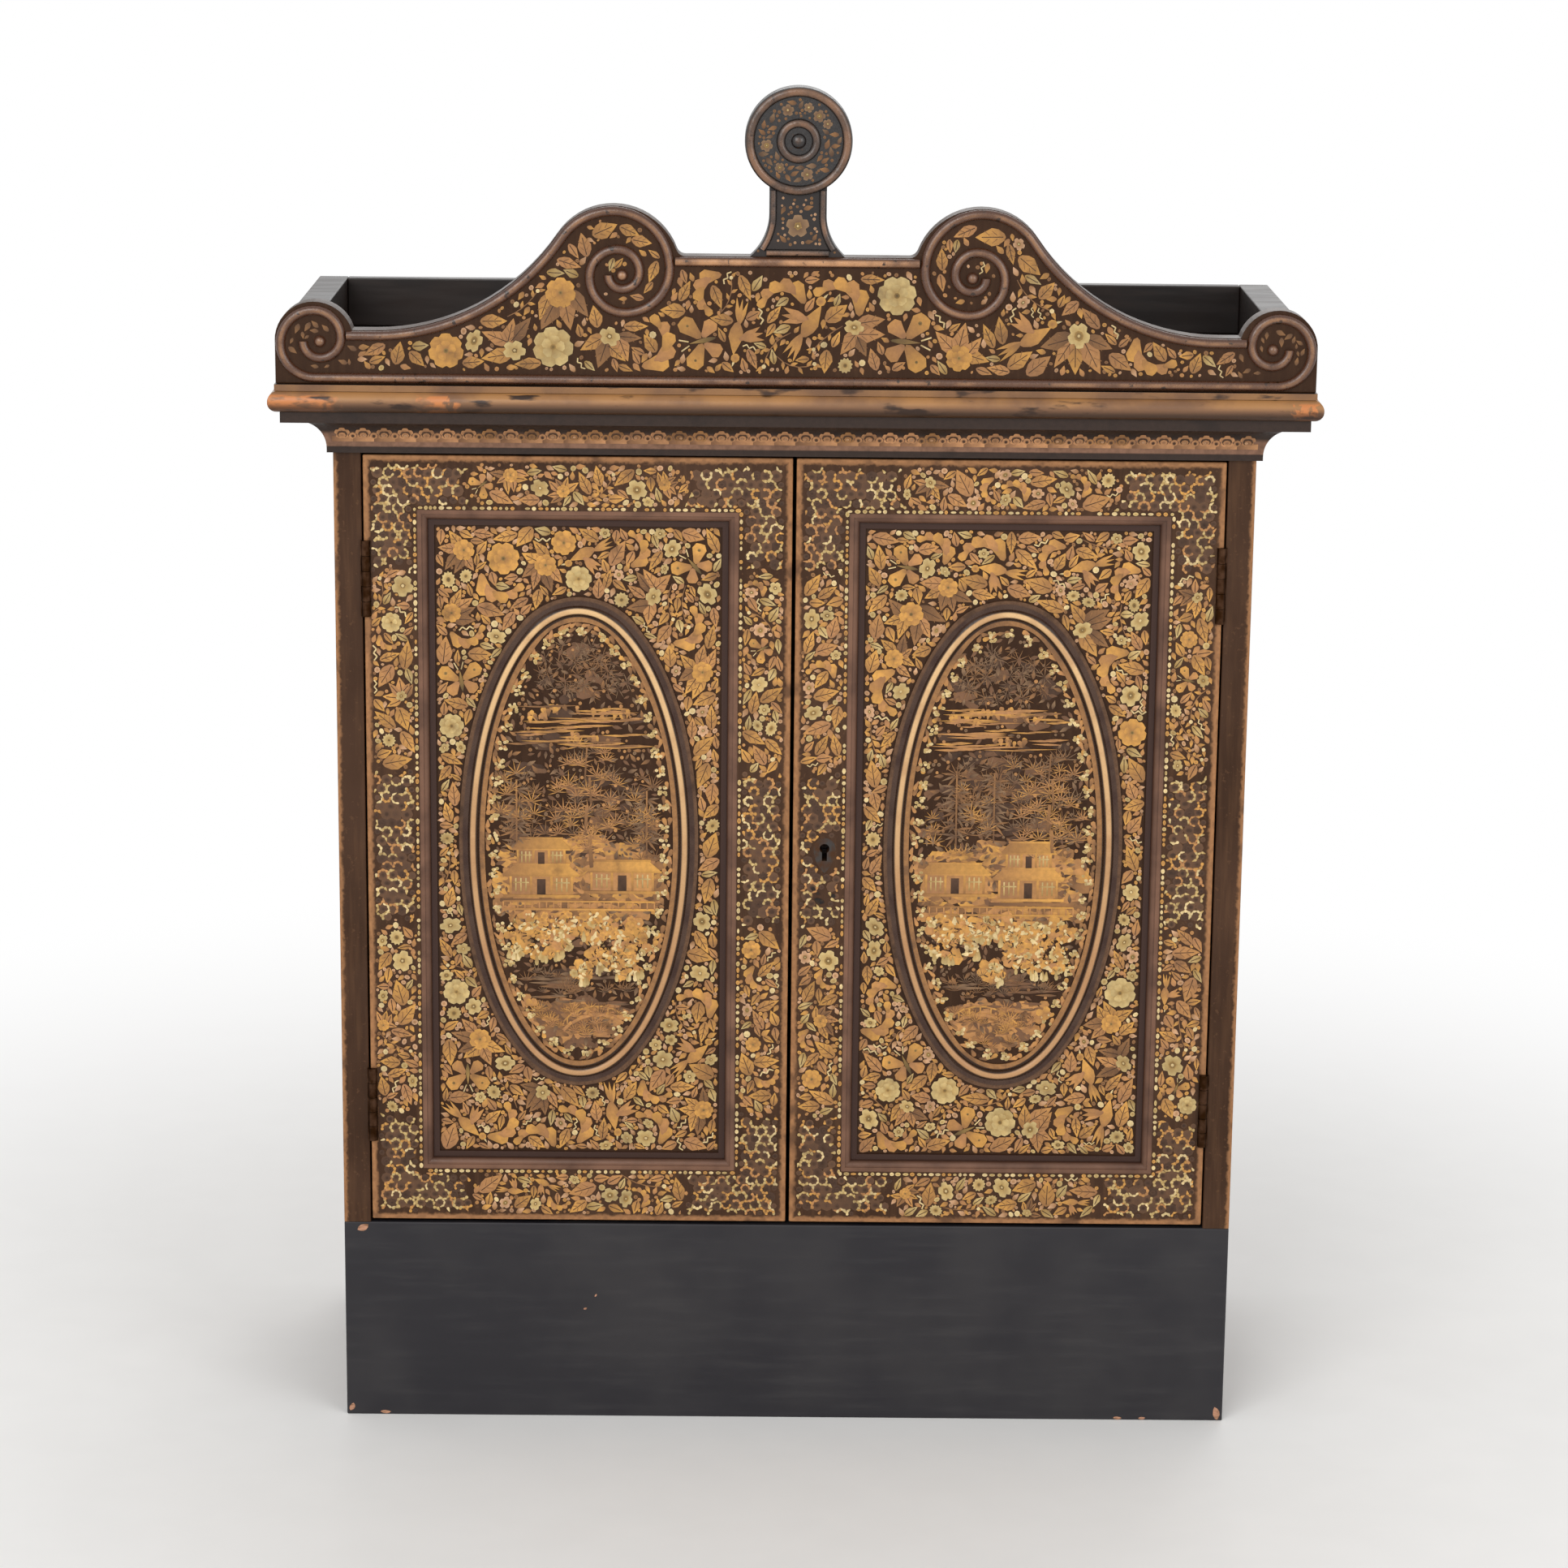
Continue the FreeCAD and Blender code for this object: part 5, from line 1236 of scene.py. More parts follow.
class CABINET_OT_door_frames(GildingOperator, bpy.types.Operator):
    """Gild the stiles and rails: flowers in pointed fields on a ground of small scales and curls"""

    bl_idname = "cabinet.door_frames"
    bl_label = "Door frame gilding"

    def gild(self):
        for number, hand in enumerate(HANDS):
            low, high, face = front_box(*door_members(hand))
            hole_low, hole_high, _ = front_box(f"{hand}_panel_moulding")
            gilding = self.start(f"{hand}_frame_gilding", front_seat(face), 20 + number)
            margin = self.sizes.edge_line / MM + BESIDE_LINE
            field, flowers = (Field(low, high, gilding.cell) for _ in range(2))
            field.set(rectangle(low + margin, high - margin), True)
            field.set(rectangle(hole_low - SCALES_OUT, hole_high + SCALES_OUT), False)
            for outline in self.cartouches(low, high, hole_low, hole_high, margin):
                flowers.set(outline, True)
            field.free &= ~grown(flowers.free, 2)
            if hand == "right":
                key_low, key_high, _ = front_box("escutcheon")
                worn = ((key_low[0] + key_high[0]) / 2 - WORN_LEFT, key_low[1] - WORN_BELOW)
                for part in (field, flowers):
                    part.cover("escutcheon", False, KEY_MARGIN)
                    part.set(circle(worn, WORN_RADIUS), False)
            self.edging(gilding, hole_low - EDGING_OUT, hole_high + EDGING_OUT)
            strew_flowers(gilding, flowers, FRAME_FLOWERS, FRAME_FLOWERS)
            self.scales(gilding, field)
            gilding.build(self.material, f"{hand}_door")

    def cartouches(self, low, high, hole_low, hole_high, margin):
        """Outlines of the flowered fields: two on each stile and one on each rail, with pointed ends."""
        outlines = []
        inner_low, inner_high = hole_low - CARTOUCHE_OUT, hole_high + CARTOUCHE_OUT
        tall = high[1] - low[1]
        for first, last in ((low[0] + margin, inner_low[0]), (inner_high[0], high[0] - margin)):
            for start, end in STILE_FIELDS:
                outlines.append(self.pointed(first, last, low[1] + start * tall, low[1] + end * tall))
        inset = RAIL_INSET_SHARE * (hole_high[0] - hole_low[0])
        for first, last in ((low[1] + margin, inner_low[1]), (inner_high[1], high[1] - margin)):
            flat = self.pointed(first, last, hole_low[0] + inset, hole_high[0] - inset)
            outlines.append([(v, u) for u, v in flat])
        return outlines

    def pointed(self, left, right, bottom, top):
        """A tall field with ogee points at both ends."""
        middle, half = (left + right) / 2, (right - left) / 2
        outline = [(middle + share * half, bottom + rise * half) for share, rise in SHOULDER_SHARES]
        outline += [(middle + share * half, top - rise * half) for share, rise in reversed(SHOULDER_SHARES)]
        return outline + [(2 * middle - u, v) for u, v in reversed(outline[1:-1])]

    def edging(self, gilding, low, high):
        """A row of pale dots round the opening."""
        rng = gilding.rng
        for start, turn, reach in rectangle_sides(low, high):
            done = 0.0
            while done < reach - 2:
                dash = min(rng.uniform(1.8, 3.4), reach - done)
                if rng.random() < 0.9:
                    place = ahead(done + dash / 2, turn, *start)
                    tone = rng.choice(["pale", "cream", "gold"])
                    gilding.lay([("dot", *place, turn, dash, rng.uniform(1.3, 2.3), tone, 3)])
                done += dash + rng.uniform(0.5, 1.6)

    def scales(self, gilding, field):
        """Overlapping brown scales with dark eyes, each held by a curl of pale gold."""
        rng = gilding.rng
        low = field.low + field.MARGIN
        high = field.low + np.array(field.free.shape[::-1]) * field.cell - field.MARGIN
        columns, rows = ((high - low) / (SCALE_PITCH, SCALE_RISE)).astype(int) + 1
        for row in range(rows):
            for column in range(columns):
                u = low[0] + (column + 0.5 * (row % 2)) * SCALE_PITCH + rng.uniform(-SCALE_STRAY, SCALE_STRAY)
                v = low[1] + row * SCALE_RISE + rng.uniform(-SCALE_STRAY, SCALE_STRAY)
                for size in (rng.uniform(6, 7.2), 4.6, 3.2):
                    scale = ("dot", u, v, 0, size, size, rng.choice(["scale", "scale", "dark"]), 0)
                    if field.holds(gilding.outline(scale)):
                        gilding.lay([scale])
                        break
                strokes = []
                if rng.random() < 0.75:
                    strokes.append(("dot", u, v, 0, rng.uniform(2.2, 3.6), 2.6, "dark", 3))
                if rng.random() < 0.85:
                    tone = rng.choice(["pale", "cream", "cream", "gold", "amber"])
                    stroke = curl(rng.uniform(2.1, 2.8), rng.uniform(1.2, 1.9), tone, rng.integers(2, 6))
                    strokes += turned(stroke, u, v, rng.uniform(0, math.tau))
                gilding.lay([part for part in strokes if field.holds(gilding.outline(part))])


# The gallery's layout in millimetres
END_SCROLL = 42
BESIDE_BEAD = 0.8
FOOT_CORNER = (18, 14)
NECK_FLOWER = 12
ROUNDEL_FIELD, ROUNDEL_RIM, ROUNDEL_HEART = 1.2, 6, 12.6


class CABINET_OT_gallery(GildingOperator, bpy.types.Operator):
    """Gild the scrolled front of the gallery and the finial"""

    bl_idname = "cabinet.gallery"
    bl_label = "Gallery gilding"

    def gild(self):
        _, high, face = front_box("gallery_front")
        gilding = self.start("gallery_gilding", front_seat(face), 30)
        field = self.field("gallery_front", GALLERY_BEADS, gilding.cell)
        ends = np.abs(field.us) > high[0] - END_SCROLL
        gilding.scatter(field, sown("leaf", 3, 6, 0.5, "dull"), 30, light=0.7, within=ends)
        field.free &= ~ends
        strew_flowers(gilding, field, 0.8, large=1.2, pale=0.14, light=0.8, fine=0.5)
        gilding.build(self.material, "carcase")
        self.neck()
        self.roundel()

    def neck(self):
        """One flower in the middle of the finial's neck, with leaves and dots round it."""
        gilding = self.start("finial_gilding", front_seat(front_box("finial_post")[2]), 31)
        field = self.field("finial_post", ("finial_roundel", "finial_beads", "rail_bead"), gilding.cell)
        foot, roundel = front_box("finial_beads")[0], front_box("finial_roundel")
        middle = ((roundel[0][0] + roundel[1][0]) / 2, (foot[1] + roundel[0][1]) / 2)
        gilding.lay(turned(blossom(NECK_FLOWER, "grey"), *middle, 0.3), 0.9)
        field.set(circle(middle, 0.6 * NECK_FLOWER), False)
        gilding.scatter(field, sown("leaf", 4, 6, 0.5, "dull"), 12, light=0.7)
        gilding.scatter(field, sown("dot", 1.2, 1.8, 1, "dull", "peach"), 50, light=0.7)
        gilding.build(self.material, "carcase")

    def roundel(self):
        """Faded flowers in the sunk ring of the finial's disc."""
        low, high, _ = front_box("finial_roundel")
        face = front_box("finial_post")[2] - ROUNDEL_FIELD
        gilding = self.start("roundel_gilding", front_seat(face), 32)
        field = Field(low, high, gilding.cell)
        field.set(ellipse((low + high) / 2, (high - low) / 2 - ROUNDEL_RIM), True)
        field.set(circle((low + high) / 2, ROUNDEL_HEART), False)
        gilding.scatter(field, lambda rng: blossom(rng.uniform(5, 7), "grey"), 7, light=0.8)
        gilding.scatter(field, sown("leaf", 4, 6, 0.5, "grey", "dull"), 26, light=0.75)
        gilding.scatter(field, sown("dot", 1.2, 1.8, 1, "dull"), 40, light=0.7)
        gilding.build(self.material, "carcase")

    def field(self, board, beads, cell):
        """The face of a board, clear of its beads and of its lower corners."""
        low, high, _ = front_box(board)
        field = Field(low, high, cell)
        field.cover(board, True)
        for bead in beads:
            field.cover(bead, False, BESIDE_BEAD)
        corner = (np.abs(field.us) > high[0] - FOOT_CORNER[0]) & (field.vs < low[1] + FOOT_CORNER[1])
        field.free &= ~corner
        field.free &= ~grown(~field.free, 1)
        return field


# Garden views in the ovals, each piece a list of parts that stands on its own foot

def pine(height, rng):
    """A trunk of four lengths with tufted boughs to both sides."""
    parts = []
    for step in range(4):
        lean = 0.06 * (-1) ** step
        place = (lean * height * 0.3, height * (0.12 + 0.24 * step))
        parts.append(("bar", *place, QUARTER + lean, 0.27 * height, 2.2 - 0.4 * step, "dull", 1))
    for step in range(8):
        side = 1 if step % 2 else -1
        rise = height * (0.26 + 0.095 * step)
        reach = height * (0.34 - 0.03 * step)
        parts.append(("bar", side * reach / 2, rise, side * 0.1, reach, 0.7, "dull", 1))
        for share in (0.35, 0.7, 1.0):
            tone = rng.choice(["grey", "dull", "amber"])
            fan = tuft(rng.uniform(6, 8.5), 7, 3.4, tone)
            parts += turned(fan, side * reach * share, rise, rng.uniform(-0.2, 0.2))
    return parts


def bamboo(height, rng):
    """A straight cane with three hanging leaves at each joint."""
    parts = [("bar", 0, height / 2, QUARTER, height, 1.0, "dull", 0)]
    for step in range(11):
        rise = height * (0.2 + 0.075 * step)
        for lean in (-0.9, -0.4, 0.1):
            turn = lean if step % 2 else math.pi - lean
            reach = rng.uniform(6, 9)
            tone = rng.choice(["grey", "dull", "grey"])
            parts.append(("leaf", *ahead(0.6 * reach, turn, 0, rise), turn, reach, 1.4, tone, 1))
    return parts


def roof(wide, tall):
    """A hipped roof with turned-up eaves and a ridge."""
    parts = [
        ("roof", 0, 0, 0, wide, tall, "gold", 1),
        ("bar", 0, tall / 2, 0, 0.72 * wide, 1.2, "gold", 2),
        ("bar", 0, -tall / 2, 0, wide, 0.9, "gold", 2),
    ]
    for side in (1, -1):
        eave = (side * 0.53 * wide, -0.3 * tall)
        parts.append(("leaf", *eave, QUARTER - side * 0.9, 0.16 * wide, 1.6, "gold", 2))
    return parts


def pavilion(wide, storeys):
    """Posts, panelled walls and roofs on a terrace."""
    parts = [("bar", 0, 0, 0, 1.25 * wide, 1.6, "gold", 1), ("bar", 0, -2.4, 0, 1.35 * wide, 1.8, "dull", 1)]
    rise = 1.0
    for storey in range(storeys):
        tall = 11 - 2 * storey
        span = wide * (1 - 0.24 * storey)
        middle = rise + tall / 2
        parts.append(("bar", 0, middle, 0, span, tall, "amber", 0))
        for step in range(4):
            u = span * (step / 3 - 0.5)
            parts.append(("bar", u, middle, QUARTER, tall, 1.3, "gold", 2))
            if step == 1:
                door = (u + span / 6, rise + 0.4 * tall)
                parts.append(("bar", *door, QUARTER, 0.8 * tall, 0.14 * span, "dark", 3))
            elif step < 3:
                for share in (0.25, 0.5, 0.75):
                    parts.append(("bar", u + share * span / 3, middle, QUARTER, 0.7 * tall, 0.8, "cream", 3))
                parts.append(("bar", u + span / 6, rise + 0.62 * tall, 0, 0.26 * span, 0.7, "cream", 4))
        parts += turned(roof(1.3 * span, 6.5), 0, rise + tall + 3, 0)
        rise += tall + 6
    return parts


def bridge(wide):
    """A humped footbridge with a handrail."""
    parts = []
    for step in range(7):
        share = step / 6 - 0.5
        rise = 0.2 * wide * (1 - 4 * share * share)
        turn = -1.6 * share
        parts += [
            ("bar", share * wide, rise, turn, 0.2 * wide, 1.8, "amber", 1),
            ("bar", share * wide, rise + 5, turn, 0.2 * wide, 0.9, "gold", 2),
            ("bar", share * wide, rise + 2.6, QUARTER, 5, 0.8, "gold", 1),
        ]
    return parts


def streak(reach, tone, wide=1.8):
    """A drawn-out cloud or ripple: two thin blades end to end."""
    return [("leaf", 0.22 * reach, 0.3, 0.02, 0.62 * reach, wide, tone, 1),
            ("leaf", -0.22 * reach, -0.3, math.pi - 0.02, 0.62 * reach, 0.9 * wide, tone, 0)]


def balustrade(wide):
    """A low railing along a terrace."""
    tall, pace = 4.6, 4
    count = int(wide / pace) + 1
    posts = [("bar", pace * step - wide / 2, tall / 2, QUARTER, tall, 0.8, "amber", 3)
             for step in range(count)]
    return [("bar", 0, 0, 0, wide, 1.2, "gold", 3), ("bar", 0, tall, 0, wide, 0.9, "gold", 4)] + posts


# What stands in each view: its maker, its place in shares of the oval, and its sizes in millimetres
VIEWS = {
    "left": (
        (pine, 0.1, -0.1, 70),
        (bamboo, -0.66, -0.06, 44),
        (bamboo, 0.72, -0.06, 38),
        (pavilion, -0.4, -0.24, 34, 2),
        (pavilion, 0.46, -0.22, 34, 1),
        (balustrade, 0, -0.3, 84),
        (rock, -0.56, -0.74, 13),
        (bridge, 0.2, -0.84, 34),
    ),
    "right": (
        (pine, 0.5, -0.04, 60),
        (bamboo, -0.5, -0.02, 46),
        (bamboo, -0.1, 0.02, 40),
        (pavilion, 0.28, -0.24, 32, 2),
        (pavilion, -0.5, -0.22, 32, 1),
        (balustrade, 0, -0.31, 80),
        (bridge, -0.2, -0.83, 36),
        (rock, 0.48, -0.76, 15),
    ),
}
# Middle and half size of each shrub and tree, in shares of the oval, and the tree's tone
CLUSTERS = {
    "left": (
        (-0.46, -0.42, 0.42, 0.1),
        (0.48, -0.47, 0.42, 0.13),
        (0.02, -0.36, 0.3, 0.05),
        (0.04, -0.58, 0.1, 0.04),
    ),
    "right": (
        (0.46, -0.46, 0.44, 0.12),
        (-0.5, -0.41, 0.4, 0.1),
        (0, -0.37, 0.3, 0.05),
        (-0.06, -0.57, 0.12, 0.04),
    ),
}
TREES = {
    "left": (
        (0.08, 0.2, 0.36, 0.26, "amber"),
        (-0.66, 0.12, 0.26, 0.2, "dull"),
        (0.72, 0.12, 0.24, 0.2, "dull"),
    ),
    "right": (
        (0.5, 0.16, 0.4, 0.24, "amber"),
        (-0.5, 0.16, 0.38, 0.22, "dull"),
        (0, 0.3, 0.2, 0.1, "dull"),
    ),
}
# The strokes of a shrub: shape, tones, count, least and most length, width as a share, level
SHRUB_STROKES = (
    ("petal", ("gold", "gold", "amber"), 34, 6, 10, 0.7, 3),
    ("bloom", ("gold", "gold", "cream"), 20, 4, 7, 0.8, 5),
    ("petal", ("gold", "pale"), 50, 2.6, 4.5, 0.6, 7),
    ("bar", ("dark", "olive"), 54, 1.2, 2.6, 0.24, 10),
    ("dot", ("pale", "gold"), 26, 1.2, 2, 1, 9),
)
# The washes under a view: middle, half size, count, lengths, tones
WASHES = (
    ((0, 0.1), (0.8, 0.8), 70, (9, 16), ("brown", "dark", "dark")),
    ((0, -0.18), (1, 0.2), 330, (9, 15), ("amber", "gold", "dull")),
    ((0, -0.84), (0.8, 0.12), 120, (8, 14), ("dull", "brown", "amber")),
)
WASH_RELIEF, OVER_WASH = 0.5, 0.14
# A tree's fans of leaves to a unit of its area, and the least; the area that a shrub's strokes are for
CROWN_FANS, LEAST_FANS = 380, 8
SHRUB_AREA = 0.05
# Bushes on the far hills: place in shares of the oval, and reach in millimetres, which is also their number
FAR_BUSHES = ((-0.1, 0.6, 14), (0.34, 0.58, 11), (-0.42, 0.57, 10), (0.1, 0.47, 12))
# Two rows of leaves in the border: inset, pace, tones; then the buds' inset and pace
BORDER_ROWS = ((1.6, 3.4, ("amber", "dull")), (4.2, 4.2, ("amber", "gold", "dull")))
BUD_ROW = (4.8, 10.5)
BORDER_WIDTH, VIEW_INSET = 5, 4


class CABINET_OT_ovals(GildingOperator, bpy.types.Operator):
    """Paint a garden view in gold in each oval, inside a leafy border"""

    bl_idname = "cabinet.ovals"
    bl_label = "Oval views"

    def gild(self):
        for number, hand in enumerate(HANDS):
            low, high, _ = front_box(f"{hand}_oval_bead")
            self.middle = (low + high) / 2
            self.half = (high - low) / 2 - self.sizes.oval_frame / MM
            face = front_box(f"{hand}_panel")[2]
            gilding = self.start(f"{hand}_oval_gilding", front_seat(face), 40 + number)
            field = Field(low, high, gilding.cell)
            field.set(ellipse(self.middle, self.half - BORDER_WIDTH), True)
            self.border(gilding)
            self.washes(gilding, field)
            self.crowns(gilding, field, TREES[hand])
            for maker, u, v, *numbers in VIEWS[hand]:
                if maker in (pine, bamboo):
                    numbers.append(gilding.rng)
                self.stand(gilding, field, maker(*numbers), u, v)
            self.sky(gilding, field)
            self.clusters(gilding, field, CLUSTERS[hand])
            self.ground(gilding, field)
            gilding.build(self.material, f"{hand}_door")

    def within(self, field, u, v, wide, tall):
        """The cells inside an ellipse given in shares of the oval."""
        us = (field.us - self.middle[0]) / self.half[0]
        vs = (field.vs - self.middle[1]) / self.half[1]
        return ((us - u) / wide) ** 2 + ((vs - v) / tall) ** 2 < 1

    def spots(self, field, *shares):
        """The middles of the cells inside an ellipse and inside the border."""
        mask = self.within(field, *shares) & self.within(field, 0, 0, 0.84, 0.93)
        return np.column_stack([field.us[mask], field.vs[mask]])

    def some_spots(self, rng, count, field, *shares):
        """A number of those places, picked at random."""
        spots = self.spots(field, *shares)
        return spots[rng.integers(len(spots), size=count)]

    def stand(self, gilding, field, parts, u, v):
        """Lay the parts that stay inside the border, and take their cells."""
        place = self.middle + self.half * (u, v)
        for part in turned(parts, *place, 0):
            outline = gilding.outline(part)
            if ((((outline - self.middle) / (self.half - VIEW_INSET)) ** 2).sum(axis=1) < 1).all():
                gilding.lay([part])
                field.set(outline, False)

    def rim(self, inset, pace):
        """Places along the oval, so far inside it and so far apart, with the way that it runs there."""
        line = ellipse(self.middle, self.half - inset, 2000)
        steps = np.diff(line, axis=0)
        walked = np.cumsum(np.hypot(*steps.T))
        for step in np.arange(0, walked[-1], pace):
            index = int(np.searchsorted(walked, step))
            yield *line[index], math.atan2(steps[index][1], steps[index][0])

    def border(self, gilding):
        """Two rows of leaves along the rim, with clusters of pale buds."""
        rng = gilding.rng
        for inset, pace, tones in BORDER_ROWS:
            for u, v, along in self.rim(inset, pace):
                if rng.random() < 0.55:
                    gilding.lay([("petal", u, v, along + rng.uniform(-0.6, 0.8), rng.uniform(4, 6),
                                  rng.uniform(2, 3.2), rng.choice(tones), rng.integers(3))])
        for u, v, _ in self.rim(*BUD_ROW):
            for _ in range(8):
                place = np.array((u, v)) + rng.uniform(-2.6, 2.6, 2)
                size = rng.uniform(1.6, 2.6)
                gilding.lay([("dot", *place, 0, size, 1.8, rng.choice(["pale", "cream", "cream"]), 4)])

    def washes(self, gilding, field):
        """Brown gold behind the houses and over the bank, and faint brown elsewhere."""
        gilding.relief, relief = WASH_RELIEF * gilding.relief, gilding.relief
        for middle, half, count, long, tones in WASHES:
            gilding.wash(self.spots(field, *middle, *half), count, long, tones)
        gilding.relief = relief
        gilding.raised = OVER_WASH

    def crowns(self, gilding, field, places):
        """Trees behind the houses: fans of leaves that overlap."""
        rng = gilding.rng
        for u, v, wide, tall, tone in places:
            count = round(CROWN_FANS * wide * tall) + LEAST_FANS
            for place in self.some_spots(rng, count, field, u, v, wide, tall):
                fan = tuft(rng.uniform(5, 8), 7, 3.4, rng.choice([tone, tone, "grey", "gold"]))
                gilding.lay(turned(fan, *place, rng.uniform(-0.3, 0.3)))

    def sky(self, gilding, field):
        """Faded foliage at the top, bushes on far hills, and drawn-out clouds."""
        rng = gilding.rng
        for place in self.some_spots(rng, 46, field, 0, 0.8, 0.62, 0.14):
            fan = tuft(rng.uniform(4, 7), 7, 4.5, rng.choice(["grey", "grey", "dull"]))
            gilding.lay(turned(fan, *place, rng.uniform(0, 6)))
        for u, v, size in FAR_BUSHES:
            for _ in range(size):
                bush = ("petal", rng.uniform(-size, size), rng.uniform(-1, 0.25 * size),
                        QUARTER + rng.uniform(-0.7, 0.7), rng.uniform(3, 5.5), rng.uniform(2, 3.4),
                        rng.choice(["amber", "dull", "gold"]), rng.integers(3))
                self.stand(gilding, field, [bush], u, v)
        for _ in range(34):
            tones = ["gold", "amber", "gold", "dull"]
            cloud = streak(rng.uniform(12, 40), rng.choice(tones), rng.uniform(0.7, 1.7))
            self.stand(gilding, field, lifted(cloud, 2), rng.uniform(-0.6, 0.6), rng.uniform(0.44, 0.63))

    def clusters(self, gilding, field, places):
        """Flowering shrubs: a mass of gold petals, dark strokes over it, and pale drooping ones under it."""
        rng = gilding.rng
        for u, v, wide, tall in places:
            share = wide * tall / SHRUB_AREA
            for shape, tones, count, low, high, plump, level in SHRUB_STROKES:
                for place in self.some_spots(rng, round(count * share) + 3, field, u, v, wide, tall):
                    long = rng.uniform(low, high)
                    turn = rng.uniform(0, math.tau)
                    gilding.lay([(shape, *place, turn, long, plump * long, rng.choice(tones), level)], 1.05)
            for _ in range(round(9 * share) + 2):
                turn = rng.uniform(-0.85, 0.85)
                place = (u + wide * math.sin(turn), v - 0.95 * tall * math.cos(turn))
                petal = ("petal", 0, -2, -QUARTER + rng.uniform(-0.2, 0.2), rng.uniform(4.5, 7),
                         rng.uniform(2, 3), rng.choice(["cream", "cream", "pale"]), 7)
                self.stand(gilding, field, [petal], *place)

    def ground(self, gilding, field):
        """Ripples and shrubs below, grass on the bank, and faded leaves wherever there is room."""
        rng = gilding.rng
        for _ in range(12):
            ripple = streak(rng.uniform(12, 30), rng.choice(["grey", "dull", "brown"]))
            self.stand(gilding, field, ripple, rng.uniform(-0.6, 0.6), rng.uniform(-0.76, -0.6))
        for middle, reach, tones, count in (
            (-0.64, 0.06, ["grey", "dull"], 26),
            (-0.84, 0.1, ["dull", "amber", "gold"], 34),
        ):
            for place in self.some_spots(rng, count, field, 0, middle, 0.8, reach):
                grass = tuft(rng.uniform(4, 7), 6, 2.6, rng.choice(tones))
                gilding.lay(lifted(turned(grass, *place, 0), 3))
        gilding.scatter(field, sown("leaf", 3.5, 6, 0.4, "grey", "dull", "brown"), 320)
        gilding.scatter(field, sown("dot", 1.4, 2.2, 1, "grey", "dull", "amber"), 260, turns=1)


# The cornice's hollow, from the front of the sides and from its own foot, and its lobes, in millimetres
COVE_RADIUS, COVE_OUT, COVE_UP = 17.0, 20.0, 2.5
LOBE_PITCH = 11.4
# The parts of a lobe, and of what fills the room between two: shape, rise, turn, length, width, tone, level
LOBE = (
    ("bloom", 9.2, QUARTER, 8, 8.4, "", 2),
    ("dot", 8.6, 0, 5.6, 5, "dark", 5),
    ("dot", 8, 0, 4, 3.6, "", 9),
)
BETWEEN_LOBES = (
    ("dot", 7.4, 0, 4, 4.4, "", 2),
    ("dot", 7.2, 0, 1.8, 2, "dark", 5),
)


def cove_seat(side):
    """Places on the cornice's hollow: u runs along it and v up its curve, on the front or on one side."""
    front = front_box("side_left")[2]
    edge = front_box("side_right")[1][0]
    foot = front_box("cornice_front")[0][1]
    sign = -1 if side == "left" else 1

    def seat(flat, height):
        turn = flat[:, 1] / COVE_RADIUS
        radius = COVE_RADIUS - height
        reach = COVE_OUT - radius * np.cos(turn)
        rise = foot + COVE_UP + radius * np.sin(turn)
        if side:
            return np.column_stack([sign * (edge + reach), sign * flat[:, 0], rise])
        return np.column_stack([flat[:, 0], front - reach, rise])
    return seat


class CABINET_OT_cornice(GildingOperator, bpy.types.Operator):
    """Gild the cornice's hollow with a row of lobes"""

    bl_idname = "cabinet.cornice"
    bl_label = "Cornice border"

    def gild(self):
        low, high, front = front_box("side_left", "side_right")
        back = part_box("side_left")[1].y / MM
        spans = {None: (low[0], high[0]), "right": (front, back), "left": (-back, -front)}
        for number, (side, span) in enumerate(spans.items()):
            gilding = self.start(f"cornice_gilding_{side or 'front'}", cove_seat(side), 50 + number)
            self.lobes(gilding, *span)
            gilding.build(self.material, "carcase")

    def lobes(self, gilding, start, end):
        """Scalloped arches with an eye in each, and small ones between them, that rise from a band."""
        rng = gilding.rng
        count = round((end - start) / LOBE_PITCH)
        pitch = (end - start) / count
        for step in range(count):
            u = start + pitch * (step + 0.5)
            tone = rng.choice(["copper", "copper", "dull"])
            light = rng.uniform(1.0, 1.35)
            gilding.lay([("bar", u, 5.4, 0, pitch - 0.1, 3.2, "copper", 1)], light)
            for parts, place in ((LOBE, u), (BETWEEN_LOBES if step else (), u - pitch / 2)):
                for shape, rise, turn, long, wide, own, level in parts:
                    gilding.lay([(shape, place, rise, turn, long, wide, own or tone, level)], light)
            if rng.random() < 0.6:
                gilding.lay([("dot", u + rng.uniform(-1, 1), 8, 0, 1.6, 1.4, "peach", 14)], 0.9)


